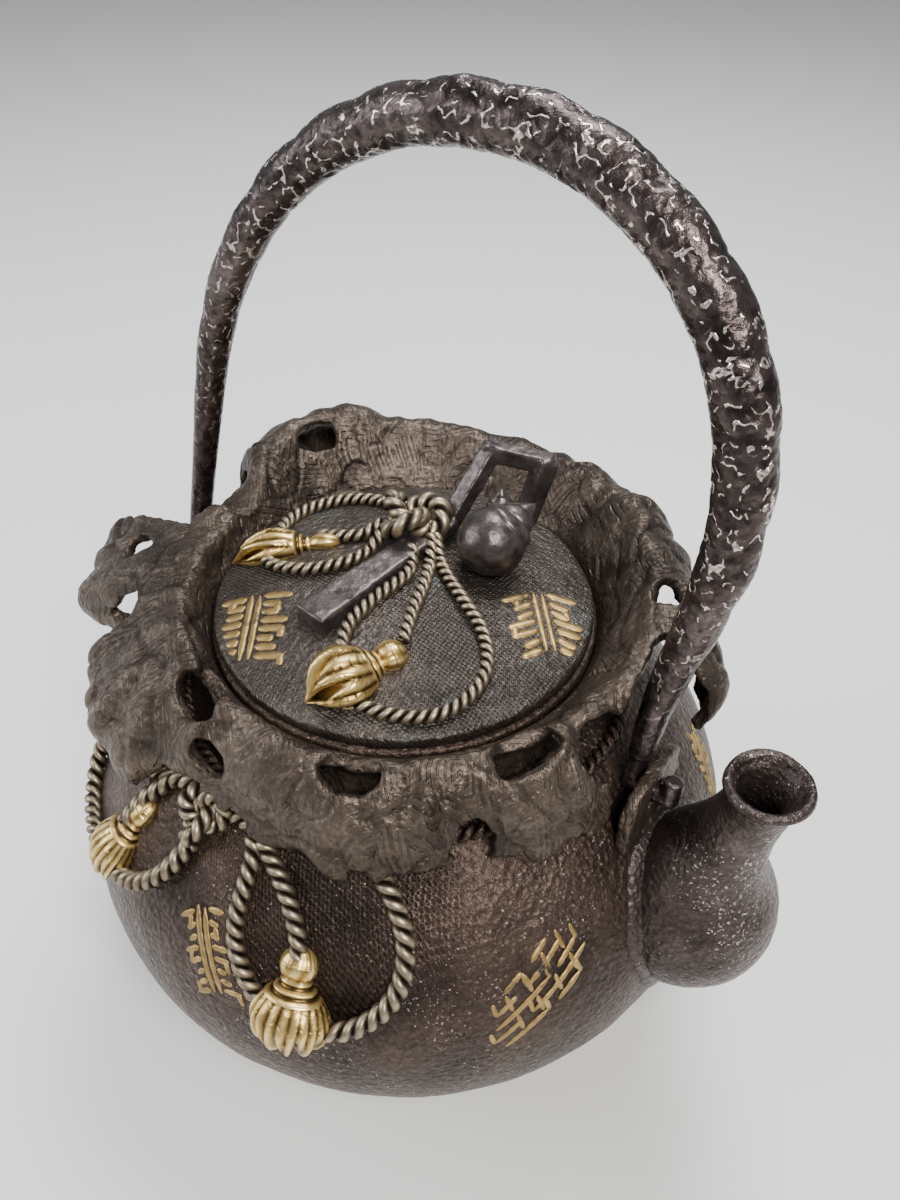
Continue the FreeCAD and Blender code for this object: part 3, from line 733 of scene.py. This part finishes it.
def frill_point(angle, s):
    """Point on the middle of the frill's sheet; s runs from the foot on the neck to the free edge."""
    crest_r, crest_z, edge_r, edge_z = frill_numbers(angle)
    root = np.array((45.1, 113.0))
    foot = np.array((45.1, 104.5))
    crest = np.array((crest_r, crest_z))
    edge = np.array((edge_r, edge_z))
    rising = root * 0.5 + crest * 0.5 + np.array((-0.9, 0.4))
    falling = crest * 0.45 + edge * 0.55 + np.array((1.4, 1.7))
    wide = min(1.0, max(0.0, (edge_r - 61.0) / 9.0))
    curl = edge + np.array((-0.4 - 1.6 * wide, -1.6 - 5.4 * wide))
    knots = [2 * foot - root, foot, root, rising, crest, falling, edge, curl,
             curl + np.array((-1.6, -1.5))]
    i = next((k for k in range(5) if s <= FRILL_MARKS[k + 1]), 5)
    r, z = spline(knots, i, (s - FRILL_MARKS[i]) / (FRILL_MARKS[i + 1] - FRILL_MARKS[i]))
    turn = math.radians(angle)

    def folds(round_scale, along_scale, shift):
        return noise.noise(Vector((math.cos(turn) * round_scale, math.sin(turn) * round_scale,
                                   s * along_scale + shift)))

    free = max(0.0, (s - 0.22) / 0.78) ** 0.7
    fold = folds(5.5, 1.6, 0.0)
    ripple = folds(13.0, 2.6, 5.0)
    crease = 1 - min(1.0, 5 * abs(folds(7.5, 0.8, 9.0)))
    z += free * (2.1 * fold + 1.7 * ripple - 1.1 * crease)
    r += free * (1.5 * ripple + 1.2 * fold - 0.8 * crease)
    r = max(r, 45.0 + 1.4 * min(1.0, max(0.0, (s - 0.14) / 0.12)))
    return Vector((r * math.cos(turn), r * math.sin(turn), z)) * MM


def frill_gap(p, angle):
    """How far a point of the sheet is from the nearest hole or notch; under 1 is inside it."""
    nearest = NO_GAP
    rough = 0.16 * noise.noise(p / (3.2 * MM))
    for at, place, half_round, half_along in FRILL_GAPS:
        if abs((angle - at + 180) % 360 - 180) > GAP_REACH:
            continue
        reach = p - frill_point(at, place)
        radial = math.radians(at)
        tangent = Vector((-math.sin(radial), math.cos(radial), 0))
        around = reach.dot(tangent) / (half_round * MM)
        along = (reach - tangent * reach.dot(tangent)).length / (half_along * MM)
        nearest = min(nearest, math.hypot(around, along) + rough)
    if abs(p.x) > LEG_NOTCH_X:
        nearest = min(nearest, abs(p.y - LEG_NOTCH_Y) / LEG_NOTCH_HALF + 0.4 * rough)
    return nearest


def frill_skin(p):
    """Hammer marks and creases of the frill, except in its seat on the neck."""
    if math.hypot(p.x, p.y) < 45.6 * MM and p.z < 117 * MM:
        return 0.0
    crease = 1 - min(1.0, 7 * abs(noise.noise(p / (9.5 * MM))))
    return 0.32 * octaves(p, 4.4, 2) + 0.55 * noise.noise(p / (7 * MM)) - 0.50 * crease


def sack_frill():
    """Pierced, folded mouth of the sack: a sheet with real holes, thickened and worn smooth."""
    columns, rows, voxel = ((620, 74, 0.62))
    points = []
    keep = []
    for s in np.linspace(0, 1, rows):
        for angle in np.linspace(-180, 180, columns, endpoint=False):
            p = frill_point(angle, s)
            points.append(p)
            keep.append(s <= 0.2 or frill_gap(p, angle) > 1.0)
    faces = [face for face in grid_faces(rows, columns, False, True)
             if all(keep[index] for index in face)]
    obj = mesh_piece("frill", points, faces, False)
    work = bmesh.new()
    work.from_mesh(obj.data)
    bmesh.ops.delete(work, geom=[v for v in work.verts if not v.link_faces], context="VERTS")
    bmesh.ops.recalc_face_normals(work, faces=work.faces)
    for _ in range(3):
        bmesh.ops.smooth_vert(work, verts=[v for v in work.verts if v.is_boundary], factor=0.5,
                              use_axis_x=True, use_axis_y=True, use_axis_z=True)
    work.to_mesh(obj.data)
    work.free()
    apply_modifier(obj, "SOLIDIFY", thickness=FRILL_THICKNESS, offset=0.0, use_even_offset=False,
                   use_rim=True)
    soften(obj, voxel, 5)
    press(obj, frill_skin)
    return dress(obj, "sack_frill", "kettle", "frill_iron")


# ---- ears, hooks and lid

def remade(node, body, slot_name, voxel, smoothing, depth):
    """The shape of a CAD node with worn corners and a hammered skin; lengths in millimetres."""
    obj = add_object(node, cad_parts[node].data.copy())
    bpy.context.view_layer.update()
    soften(obj, voxel, smoothing)
    press(obj, lambda p: depth * octaves(p, 3.0, 3))
    return dress(obj, node, body, slot_name)


def lid_plate():
    """Domed lid with a stepped edge, hollow underside and locating flange."""
    rise = [(r, LID_EDGE_Z + LID_RISE * (1 - (r / LID_RADIUS) ** 2))
            for r in np.linspace(0.05 * MM, LID_RADIUS - 0.8 * MM, 84)]
    edge = [(LID_RADIUS - 0.25 * MM, LID_EDGE_Z - 0.1 * MM), (LID_RADIUS, LID_EDGE_Z - 0.6 * MM),
            (LID_RADIUS, LID_UNDER_Z + 0.3 * MM), (LID_RADIUS - 0.4 * MM, LID_UNDER_Z),
            (FLANGE_RADIUS, LID_UNDER_Z), (FLANGE_RADIUS, FLANGE_END_Z + 0.4 * MM),
            (FLANGE_RADIUS - 0.4 * MM, FLANGE_END_Z), (FLANGE_RADIUS - FLANGE_WALL, FLANGE_END_Z),
            (FLANGE_RADIUS - FLANGE_WALL, LID_UNDER_Z), (16 * MM, LID_UNDER_Z + 3 * MM),
            (0.05 * MM, LID_UNDER_Z + 3 * MM)]
    obj = mesh_piece("lid", *turned(rise + fill_profile(edge, 1.2 * MM), 420))
    press(obj, lambda p: 0.05 * octaves(p, 1.8, 2) + 0.16 * octaves(p, 11, 2)
          if p.z >= LID_UNDER_Z + 0.4 * MM else 0.0)
    return dress(obj, "lid_plate", "lid", "lid_iron")


def bar_points(start, end, width, height, taper=1.0):
    """Corner points and faces of one rectangular bar."""
    along = (end - start).normalized()
    side = Vector((0, 0, 1)).cross(along).normalized()
    up = along.cross(side)
    points = [place + side * (a * width * size / 2) + up * (b * height * size / 2)
              for place, size in ((start, 1.0), (end, taper))
              for a, b in ((-1, -1), (1, -1), (1, 1), (-1, 1))]
    faces = [[3, 2, 1, 0], [4, 5, 6, 7]] + [[i, (i + 1) % 4, (i + 1) % 4 + 4, i + 4] for i in range(4)]
    return points, faces


def lid_key():
    """Storehouse key: a flat shaft under the knot, then a square hook that stands up."""
    shaft_z = lid_place(*scaled(LID, (-6, 8))).z / MM + 2.6
    edge = LID_EDGE_Z / MM
    knee = Vector((-1.5, 20, shaft_z - 0.2))
    stand = Vector((1, 33, edge + 21.5))
    over = Vector((14, 36, edge + 21.5))
    down = Vector((11.5, 33, edge + 8))
    parts = [bar_points(Vector((-7.6, -23.5, shaft_z - 2.2)), knee, 8.6, 5.0, 0.62)]
    for start, end, wide in ((knee, stand, 4.0), (stand, over, 4.0), (over, down, 5.2)):
        overlap = (end - start).normalized() * 1.7
        parts.append(bar_points(start - overlap, end + overlap, wide, 4.4))
    points, faces = merge(parts)
    obj = mesh_piece("key", [p * MM for p in points], faces)
    soften(obj, 0.42, 4)
    press(obj, lambda p: 0.12 * octaves(p, 5, 3))
    return dress(obj, "lid_key", "lid", "key_iron")


def jewel(node, at, radius, tip, ridges):
    """Round jewel whose top rises in stacked ridges to a point."""
    radius = radius * MM
    top = math.pi / 2 - math.radians(52)
    profile = [(0.02 * radius, -radius)]
    profile += [(radius * math.cos(a), radius * math.sin(a))
                for a in np.linspace(-math.pi / 2 + 0.05, top, 44)]
    base_r, base_z = profile[-1]
    for i in range(1, 60):
        t = i / 60
        swell = 0.09 * radius * abs(math.sin(math.pi * ridges * t)) * (1 - t)
        profile.append((base_r * (1 - t) ** 0.85 + swell, base_z + 1.02 * radius * t))
    profile.append((0.01 * radius, base_z + 1.04 * radius))
    points, faces = turned(profile, 72)
    twist = []
    for x, y, z in points:
        turn = math.atan2(y, x)
        raised = max(0.0, (z - base_z) / radius)
        ring = math.hypot(x, y) * (1 + 0.05 * raised * math.sin(2 * turn + 6 * raised))
        twist.append((ring * math.cos(turn) + 0.10 * radius * raised ** 2, ring * math.sin(turn), z))
    obj = mesh_piece(node, twist, faces)
    leaned = Vector((0, 0, 1)).rotation_difference(Vector(tip).normalized()).to_matrix().to_4x4()
    obj.data.transform(Matrix.Translation(lid_place(*scaled(LID, at), radius * 0.92)) @ leaned)
    obj.data.update()
    press(obj, lambda p: 0.05 * octaves(p, 2.5, 3))
    return dress(obj, node, "lid", "key_iron")


# ---- knots and tassels

def knot(node, ground, at, wide, high, half, unit, turned_by=0.0, base=0.0):
    """Knot of twisted cord: a three-lobed loop that passes over and under itself."""
    at = scaled(ground, at)
    middle = []
    up = []
    count = 190
    for i in range(count + 1):
        t = 2 * math.pi * i / count + turned_by
        u = at[0] + wide * MM * (math.sin(t) + 2 * math.sin(2 * t)) / 3 * unit[0]
        v = at[1] + wide * MM * (math.cos(t) - 2 * math.cos(2 * t)) / 3 * unit[1]
        lift = base + high * (0.5 - 0.5 * math.sin(3 * t)) + half * 0.75
        middle.append(ground.place(u, v, lift * MM))
        up.append(upright(ground.place, u, v))
    obj = twisted(node, [(middle, up, run_lengths(middle))], half * MM)
    return dress(obj, node, ground.body, "cord_metal")


# Ends of a tassel's ball head and of its bound neck, as shares of its length.
HEAD_END = 0.27
NECK_END = 0.40


def tassel(node, ground, route, half, height, flutes, offset=0.0):
    """Cast tassel: ball head, bound neck and a fluted skirt with uneven ends, half sunk in."""
    centre, normal, even = along_surface(ground.place, [scaled(ground, p) for p in route], 0.0, 0.28)
    frames = side_frames(centre, normal)
    sides = 120
    rows = 96
    points = []
    relief = []
    for i in range(rows + 1):
        s = i / rows
        skirt = max(0.0, (s - NECK_END) / (1 - NECK_END))
        for turn in turns(sides):
            finger = abs(math.cos(turn * flutes / 4 + 0.7 + offset))
            groove = abs(math.sin(turn * flutes / 2 + 3.0 * s + offset + 0.5 * math.sin(2 * turn + 3 * s)))
            if s < HEAD_END:
                width = 0.46 * math.sqrt(max(0.0, 1 - ((s - 0.140) / 0.145) ** 2)) + 0.02
                depth = 0.03
                relief.append(0.35 + 0.6 * math.sin(7 * turn + 16 * s))
            elif s < NECK_END:
                t = (s - HEAD_END) / (NECK_END - HEAD_END)
                band = math.cos(4 * math.pi * t)
                width = 0.36 + 0.34 * t ** 1.5 + 0.045 * band
                depth = 0.0
                relief.append(-0.8 * (band < -0.2) + 0.6 * (band > 0))
            else:
                belly = math.sin(math.pi * min(1.0, 0.30 + 0.52 * skirt)) ** 0.8
                width = 0.70 + 0.30 * (belly - 0.84) / 0.16
                if skirt > 0.72:
                    width = max(0.06, width * (1 - ((skirt - 0.72) / 0.28) ** 1.7))
                depth = 0.12 * min(1.0, skirt * 3)
                relief.append(1.7 * groove - 1.0)
            reach = half * MM * max(0.02, width * (1 - depth * (1 - groove ** 0.5)))
            tall = reach * height / half
            distance = even[-1] * s * (1 - 0.30 * skirt * (1 - finger) ** 1.3)
            k = min(int(np.searchsorted(even, distance)), len(centre) - 1)
            across, up = frames[k]
            points.append(centre[k] + across * (reach * math.cos(turn))
                          + up * (tall * math.sin(turn) + tall * 0.30))
    obj = mesh_piece(node, points, tube_faces(rows + 1, sides))
    press(obj, lambda p: 0.10 * octaves(p, 3.2, 3))
    # Relief for the gilt: the neck's bands and the skirt's grooves run low and are painted shade; ridges
    # run high and get painted highlight.
    mark(obj, "relief", relief)
    return dress(obj, node, ground.body, "tassel_gilt")


# ---- inlays

# Place across an inlaid bar in half widths, and lift off the iron in millimetres.
BAR_SECTION = ((-1, -0.25), (-0.85, 0.16), (0, 0.24), (0.85, 0.16), (1, -0.25))


def inlay(node, ground, at, ring, tilt, bars):
    """Gold bars hammered into the iron with uneven edges; ring is the pot's radius there, or None."""
    unit = (math.degrees(1 / ring), 0.86 * MM) if ring else (MM, MM)
    limit = LID_RADIUS - 1.2 * MM if ground is LID else math.inf
    at = scaled(ground, at)
    lean = math.radians(tilt)
    parts = []

    def flat(p, q):
        side = p * math.cos(lean) - q * math.sin(lean)
        rise = p * math.sin(lean) + q * math.cos(lean)
        return at[0] + side * unit[0], at[1] + rise * unit[1]

    def outside(p, q):
        return math.hypot(*flat(p, q)) > limit

    for p0, q0, p1, q1, wide in bars:
        while outside(p1, q1) and math.hypot(p1 - p0, q1 - q0) > 1.0:
            p1, q1 = 0.9 * p1 + 0.1 * p0, 0.9 * q1 + 0.1 * q0
        while outside(p0, q0) and math.hypot(p1 - p0, q1 - q0) > 1.0:
            p0, q0 = 0.9 * p0 + 0.1 * p1, 0.9 * q0 + 0.1 * q1
        if outside(p0, q0) or outside(p1, q1):
            continue
        run = math.hypot(p1 - p0, q1 - q0)
        count = max(3, int(run / 0.5))
        points = []
        for i in range(count + 1):
            s = i / count
            seed = Vector((p0 + 3.1 * q0, s * run * 0.8, wide * 5))
            edge = wide * (1 + 0.30 * noise.noise(seed * 1.7)) * min(1.0, 0.35 + 4 * s, 0.35 + 4 * (1 - s))
            for across, lift in BAR_SECTION:
                p = p0 + (p1 - p0) * s - (q1 - q0) / run * across * edge / 2
                q = q0 + (q1 - q0) * s + (p1 - p0) / run * across * edge / 2
                lift += 0.05 * noise.noise(Vector((p, q, 3.3)) * 2)
                points.append(ground.place(*flat(p, q), lift * MM))
        parts.append((points, tube_faces(count + 1, len(BAR_SECTION))))
    obj = mesh_piece(node, *merge(parts))
    mark(obj, "relief", [0.4 * noise.noise(Vector(p) / (1.6 * MM)) for p in vectors_of(obj, "co")])
    return dress(obj, node, ground.body, "inlay_gold")


def comb_fret(half_long, half_wide, teeth, slant, fill):
    """Bars of a fret: two long middle rails with close strokes down both sides."""
    pitch = 1.84 * half_long / (teeth - 1)
    thick = fill * pitch
    bars = [(-half_long, -0.95, half_long, -1.05, 1.5), (-half_long * 0.94, 0.95, half_long, 0.85, 1.45)]
    for i in range(teeth):
        p = -half_long * 0.92 + pitch * i
        reach = half_wide * (0.82 + 0.18 * math.cos(1.7 * i + 0.5))
        bars.append((p, 1.9, p + slant, reach, thick))
        bars.append((p + 0.4, -2.0, p + 0.4 + slant, -reach, thick))
        if i % 3 == 1:
            bars.append((p + slant, reach - 0.9, p + slant + pitch, reach - 0.7, 0.9 * thick))
            bars.append((p + 0.4 + slant, -reach + 0.9, p + slant - pitch, -reach + 1.1, 0.9 * thick))
    return bars


def key_fret(half_long, half_wide):
    """Bars of a fret: five broken lines joined by short slanted steps."""
    rows = [(-0.95, -0.10, 0.10, 0.62), (-1.0, -0.45, -0.25, 1.0), (-0.80, 0.30, 0.48, 0.98),
            (-0.62, -0.20, 0.0, 0.86), (-0.30, 0.10, 0.30, 0.70)]
    gap = 2 * half_wide / (len(rows) - 1)
    bars = []
    for i, (a, b, c, d) in enumerate(rows):
        q = -half_wide + gap * i
        for start, end in ((a, b), (c, d)):
            bars.append((start * half_long, q, end * half_long, q + 0.3, 1.35))
        for step in (a, c) if i % 2 else (b, d):
            if i < len(rows) - 1:
                bars.append((step * half_long, q, step * half_long + 1.4, q + gap, 1.25))
    for step in (-0.55, -0.15, 0.25, 0.62):
        bars.append((step * half_long, -0.8 * half_wide, step * half_long + 1.8, -0.1 * half_wide, 1.2))
        bars.append((step * half_long + 2, 0.2 * half_wide, step * half_long + 3.6, 0.9 * half_wide, 1.2))
    return bars


# ---- handle

# Place along the handle from the rear leg's end to the front leg's end, and half thickness in mm.
HANDLE_THICKNESS = [(0.0, 2.7), (0.08, 3.1), (0.16, 3.9), (0.26, 4.7), (0.36, 5.4), (0.46, 6.0),
                    (0.56, 6.2), (0.66, 6.1), (0.76, 6.1), (0.84, 5.4), (0.91, 4.2), (1.0, 2.7)]


def handle_point(theta):
    """Point of the handle's upright centre line by its angle from the top."""
    radius = (83.2 - 10.0 * math.cos(theta) + 18.2 * math.cos(2 * theta) - 4.2 * math.cos(3 * theta)
              - 1.8 * math.sin(theta) + 4.2 * math.sin(2 * theta)) * MM
    return Vector((radius * math.sin(theta), 0, HANDLE_CENTRE_Z + radius * math.cos(theta)))


def handle_end(direction):
    """Angle at which a leg comes down to its end height."""
    low, high = 0.0, 2.6
    for _ in range(40):
        middle = (low + high) / 2
        if handle_point(direction * middle).z > HANDLE_END_Z:
            low = middle
        else:
            high = middle
    return direction * low


def handle_bail():
    """Gnarled bail: scalloped along its outer side, flat-facetted and pitted all over."""
    thetas = np.linspace(handle_end(-1), handle_end(1), 900)
    lengths = run_lengths([handle_point(t) for t in thetas])
    rows = 720
    sides = 72
    even = np.linspace(0, lengths[-1], rows)
    marks, halves = zip(*HANDLE_THICKNESS)
    hinge = Vector((0, 0, HINGE_Z))
    lean = Matrix.Translation(hinge) @ Matrix.Rotation(-HANDLE_LEAN, 4, "X") @ Matrix.Translation(-hinge)
    across = Vector((0, 1, 0))
    points = []
    relief = []
    wear = []
    for station, run in zip(np.interp(even, lengths, thetas), even):
        centre = handle_point(station)
        up = (handle_point(station + 0.004) - handle_point(station - 0.004)).normalized().cross(across)
        if up.dot(centre - Vector((0, 0, HANDLE_CENTRE_Z))) < 0:
            up = -up
        half = np.interp(run / even[-1], marks, halves)
        strength = min(1.0, max(0.0, (half - 2.9) / 2.2))
        wander = run / MM + 2.5 * noise.noise(Vector((run / (17 * MM), 3.0, 1.0)))
        scallop = abs(math.sin(math.pi * wander / 15.5)) - 0.62
        for turn in turns(sides):
            outer = math.sin(turn)
            side = across * math.cos(turn) + up * outer
            p = centre + side * half * MM
            lump = octaves(p, 9.5, 2)
            facet = octaves(p, 3.6, 3)
            crater = max(0.0, noise.noise(p / (2.1 * MM) + Vector((7, 2, 5))) - 0.12)
            worm = max(0.0, 1 - 7 * abs(noise.noise(p / (3.9 * MM) + Vector((1, 8, 3)))))
            lift = strength * (0.75 * scallop * max(0.0, outer) ** 1.2 + 0.22 * lump + 0.12 * facet)
            dent = strength * (0.42 * crater + 0.14 * worm)
            points.append(lean @ (centre + side * (0.98 * half + lift - dent) * MM))
            wear.append(strength)
            relief.append(max(-0.6, min(1.0, 0.9 * facet - 2.0 * crater - 0.5 * worm + 0.25 * lump)))
    obj = mesh_piece("bail", points, tube_faces(rows, sides))
    # Relief for the iron: craters and worm tracks run low and are painted shade; facets run high and get
    # painted highlight.
    mark(obj, "relief", relief)
    mark(obj, "wear", wear)
    return dress(obj, "handle_bail", "handle", "handle_iron")


# ---- assembly

def build_pot_relief():
    """Cords, knot, tassels and inlays on the pot."""
    cast_cord("neck_cord", POT, [[(a, 98.6) for a in range(-180, 181, 12)]], NECK_CORD, 0.3, "body_iron")
    knot("body_knot", POT, (-99, 94.2), 5.2, 3.4, 2.0, (math.degrees(1 / 0.062), 0.72))
    cast_cord("body_cord_left_loop", POT, [
        [(-100, 96), (-107, 95.5), (-117, 92), (-128, 89), (-137, 83), (-139, 75), (-134, 69.5),
         (-126, 69), (-116, 71.5), (-107, 76), (-101, 83), (-98.5, 90)],
        [(-112, 93.5), (-114.5, 88), (-115.5, 82)]], BODY_CORD)
    cast_cord("body_cord_center_loop", POT, [
        [(-96, 96), (-90, 96.3), (-84, 95), (-77.5, 91.5), (-73, 86.5), (-71.2, 81)],
        [(-88.5, 96.5), (-85.2, 93.5), (-84.4, 89.5), (-83.8, 83.8), (-81.7, 78.4), (-77.5, 72.5),
         (-74, 69.5)]], 0.9 * BODY_CORD)
    cast_cord("body_cord_right_loop", POT, [
        [(-72, 98.5), (-66, 97.3), (-60, 95.6), (-56, 91.8), (-54, 86), (-55, 79.5), (-58, 74.5),
         (-62.5, 70.5), (-67, 69)]], BODY_CORD)
    tassel("body_tassel_left", POT, [(-113.2, 88.5), (-115.3, 77), (-116.5, 66)], 6.6, 5.0, 18, 0.4)
    tassel("body_tassel_front", POT, [(-71.3, 83.5), (-71.6, 72), (-71.8, 61.5)], 8.6, 6.0, 20)
    inlay("body_inlay_left", POT, (-88.2, 75), 74.5, -62, comb_fret(9.8, 6.0, 8, 1.2, 0.56))
    inlay("body_inlay_front", POT, (-33.5, 72.6), 76.5, 36, key_fret(14.5, 6.0))
    inlay("body_inlay_right", POT, (24, 76), 75.5, 60, comb_fret(9.0, 5.0, 7, 1.4, 0.6))


def build_lid_relief():
    """Cords, knot, tassels and inlays on the lid."""
    knot("lid_knot", LID, (-7.2, 12.8), 6.9, 4.4, 2.35, (1.0, 1.0), 0.5, 2.2)
    cast_cord("lid_cord_left_loop", LID, [
        [(-14, 20), (-19, 21.5), (-25.5, 21), (-32, 17.5), (-36.5, 11), (-37.5, 4), (-35, -3)],
        [(-11.5, 9), (-11.2, 2), (-13.6, -4.5), (-19.4, -10), (-27, -12), (-33, -10.5)],
        [(-14, 11), (-17, 6), (-21.5, 3), (-25.5, 1.5)]], LID_CORD)
    cast_cord("lid_cord_center_loop", LID, [
        [(-6, 16.5), (-1, 11.5), (3.1, 5.3), (6.2, -1.5), (8.4, -8), (12, -16.5)],
        [(-2.5, 7), (0.9, -0.1), (-0.2, -9.9), (-0.4, -18.2), (2.2, -24.5), (6.5, -27)]], LID_CORD)
    cast_cord("lid_cord_right_loop", LID, [
        [(-1, 13), (3.5, 8.5), (8.6, 4.6), (15.4, 0.6), (23.3, -4), (28.6, -10), (30.4, -16.7),
         (29.1, -24), (25.2, -29), (18.8, -32.4), (11, -34)]], LID_CORD)
    tassel("lid_tassel_left", LID, [(-20.5, 2.6), (-31, -5.5), (-40, -14)], 4.9, 4.4, 10, 0.9)
    tassel("lid_tassel_front", LID, [(13.2, -17.5), (9.2, -27), (3.6, -38.5)], 7.4, 6.0, 12, 0.3)
    inlay("lid_inlay_left", LID, (-20.3, -28.6), None, -56, comb_fret(9.6, 8.6, 8, 0.6, 0.84))
    inlay("lid_inlay_right", LID, (31.2, 8.8), None, -48, comb_fret(8.6, 8.8, 7, 2.2, 0.80))


def build():
    """Every visible piece of the kettle."""
    pot_body()
    spout_piece()
    sack_frill()
    for node in ("lug_front", "lug_rear"):
        remade(node, "kettle", "frill_iron", 0.45, 8, 0.30)
    for node in ("handle_hook_front", "handle_hook_rear"):
        remade(node, "handle", "handle_iron", 0.40, 4, 0.12)
    handle_bail()
    lid_plate()
    lid_key()
    jewel("lid_jewel_large", (12.5, 14.5), 7.8, (0.35, 0.75, 0.56), 3)
    jewel("lid_jewel_small", (3, 34), 3.4, (0, 0, 1), 2)
    build_pot_relief()
    build_lid_relief()
    for node in ("lid_rivets", "lid_washers"):
        remade(node, "lid", "rivet_brass", 0.25, 2, 0.02)


build()


# ---- studio

def area_light(name, place, aim, size, power, colour):
    """Soft square lamp that faces a point."""
    lamp = bpy.data.lights.new(name, "AREA")
    lamp.size = size
    lamp.energy = power
    lamp.color = colour
    obj = add_object(name, lamp)
    obj.location = place
    obj.rotation_euler = (Vector(aim) - Vector(place)).to_track_quat("-Z", "Y").to_euler()


def studio():
    """Pale floor, soft area lights and the camera."""
    reach = 1.6
    floor = mesh_piece("studio_floor", [(-reach, -reach, 0), (reach, -reach, 0), (reach, reach, 0),
                                        (-reach, reach, 0)], [(0, 1, 2, 3)], False)
    paint = bpy.data.materials.new("studio_floor")
    paint.use_nodes = True
    shader = paint.node_tree.nodes["Principled BSDF"]
    shader.inputs["Base Color"].default_value = (0.78, 0.77, 0.75, 1)
    shader.inputs["Roughness"].default_value = 0.7
    floor.data.materials.append(paint)

    world = bpy.data.worlds.new("studio")
    bpy.context.scene.world = world
    world.use_nodes = True
    sky = world.node_tree.nodes["Background"]
    sky.inputs["Color"].default_value = (0.86, 0.90, 0.95, 1)
    sky.inputs["Strength"].default_value = 0.34
    area_light("key", (0.42, -0.28, 0.72), (0, 0, 0.10), 0.30, 8.5, (1.0, 0.98, 0.95))
    area_light("fill", (-0.65, -0.45, 0.50), (0, 0, 0.08), 0.6, 6.0, (0.93, 0.96, 1.0))
    area_light("top", (-0.10, 0.35, 0.80), (0, 0, 0.12), 0.40, 8.0, (0.95, 0.97, 1.0))

    level = math.cos(CAMERA_ELEVATION)
    back = Vector((math.sin(CAMERA_AZIMUTH) * level, -math.cos(CAMERA_AZIMUTH) * level,
                   math.sin(CAMERA_ELEVATION)))
    right = Vector((math.cos(CAMERA_AZIMUTH), math.sin(CAMERA_AZIMUTH), 0))
    turn = Matrix((right, back.cross(right), back)).transposed().to_4x4()
    lens = bpy.data.cameras.new("camera")
    lens.lens = CAMERA_LENS
    lens.sensor_width = 36.0
    lens.clip_start = 0.01
    camera = add_object("camera", lens)
    camera.matrix_world = Matrix.Translation(CAMERA_AT) @ turn @ Matrix.Rotation(CAMERA_ROLL, 4, "Z")
    bpy.context.scene.camera = camera


studio()
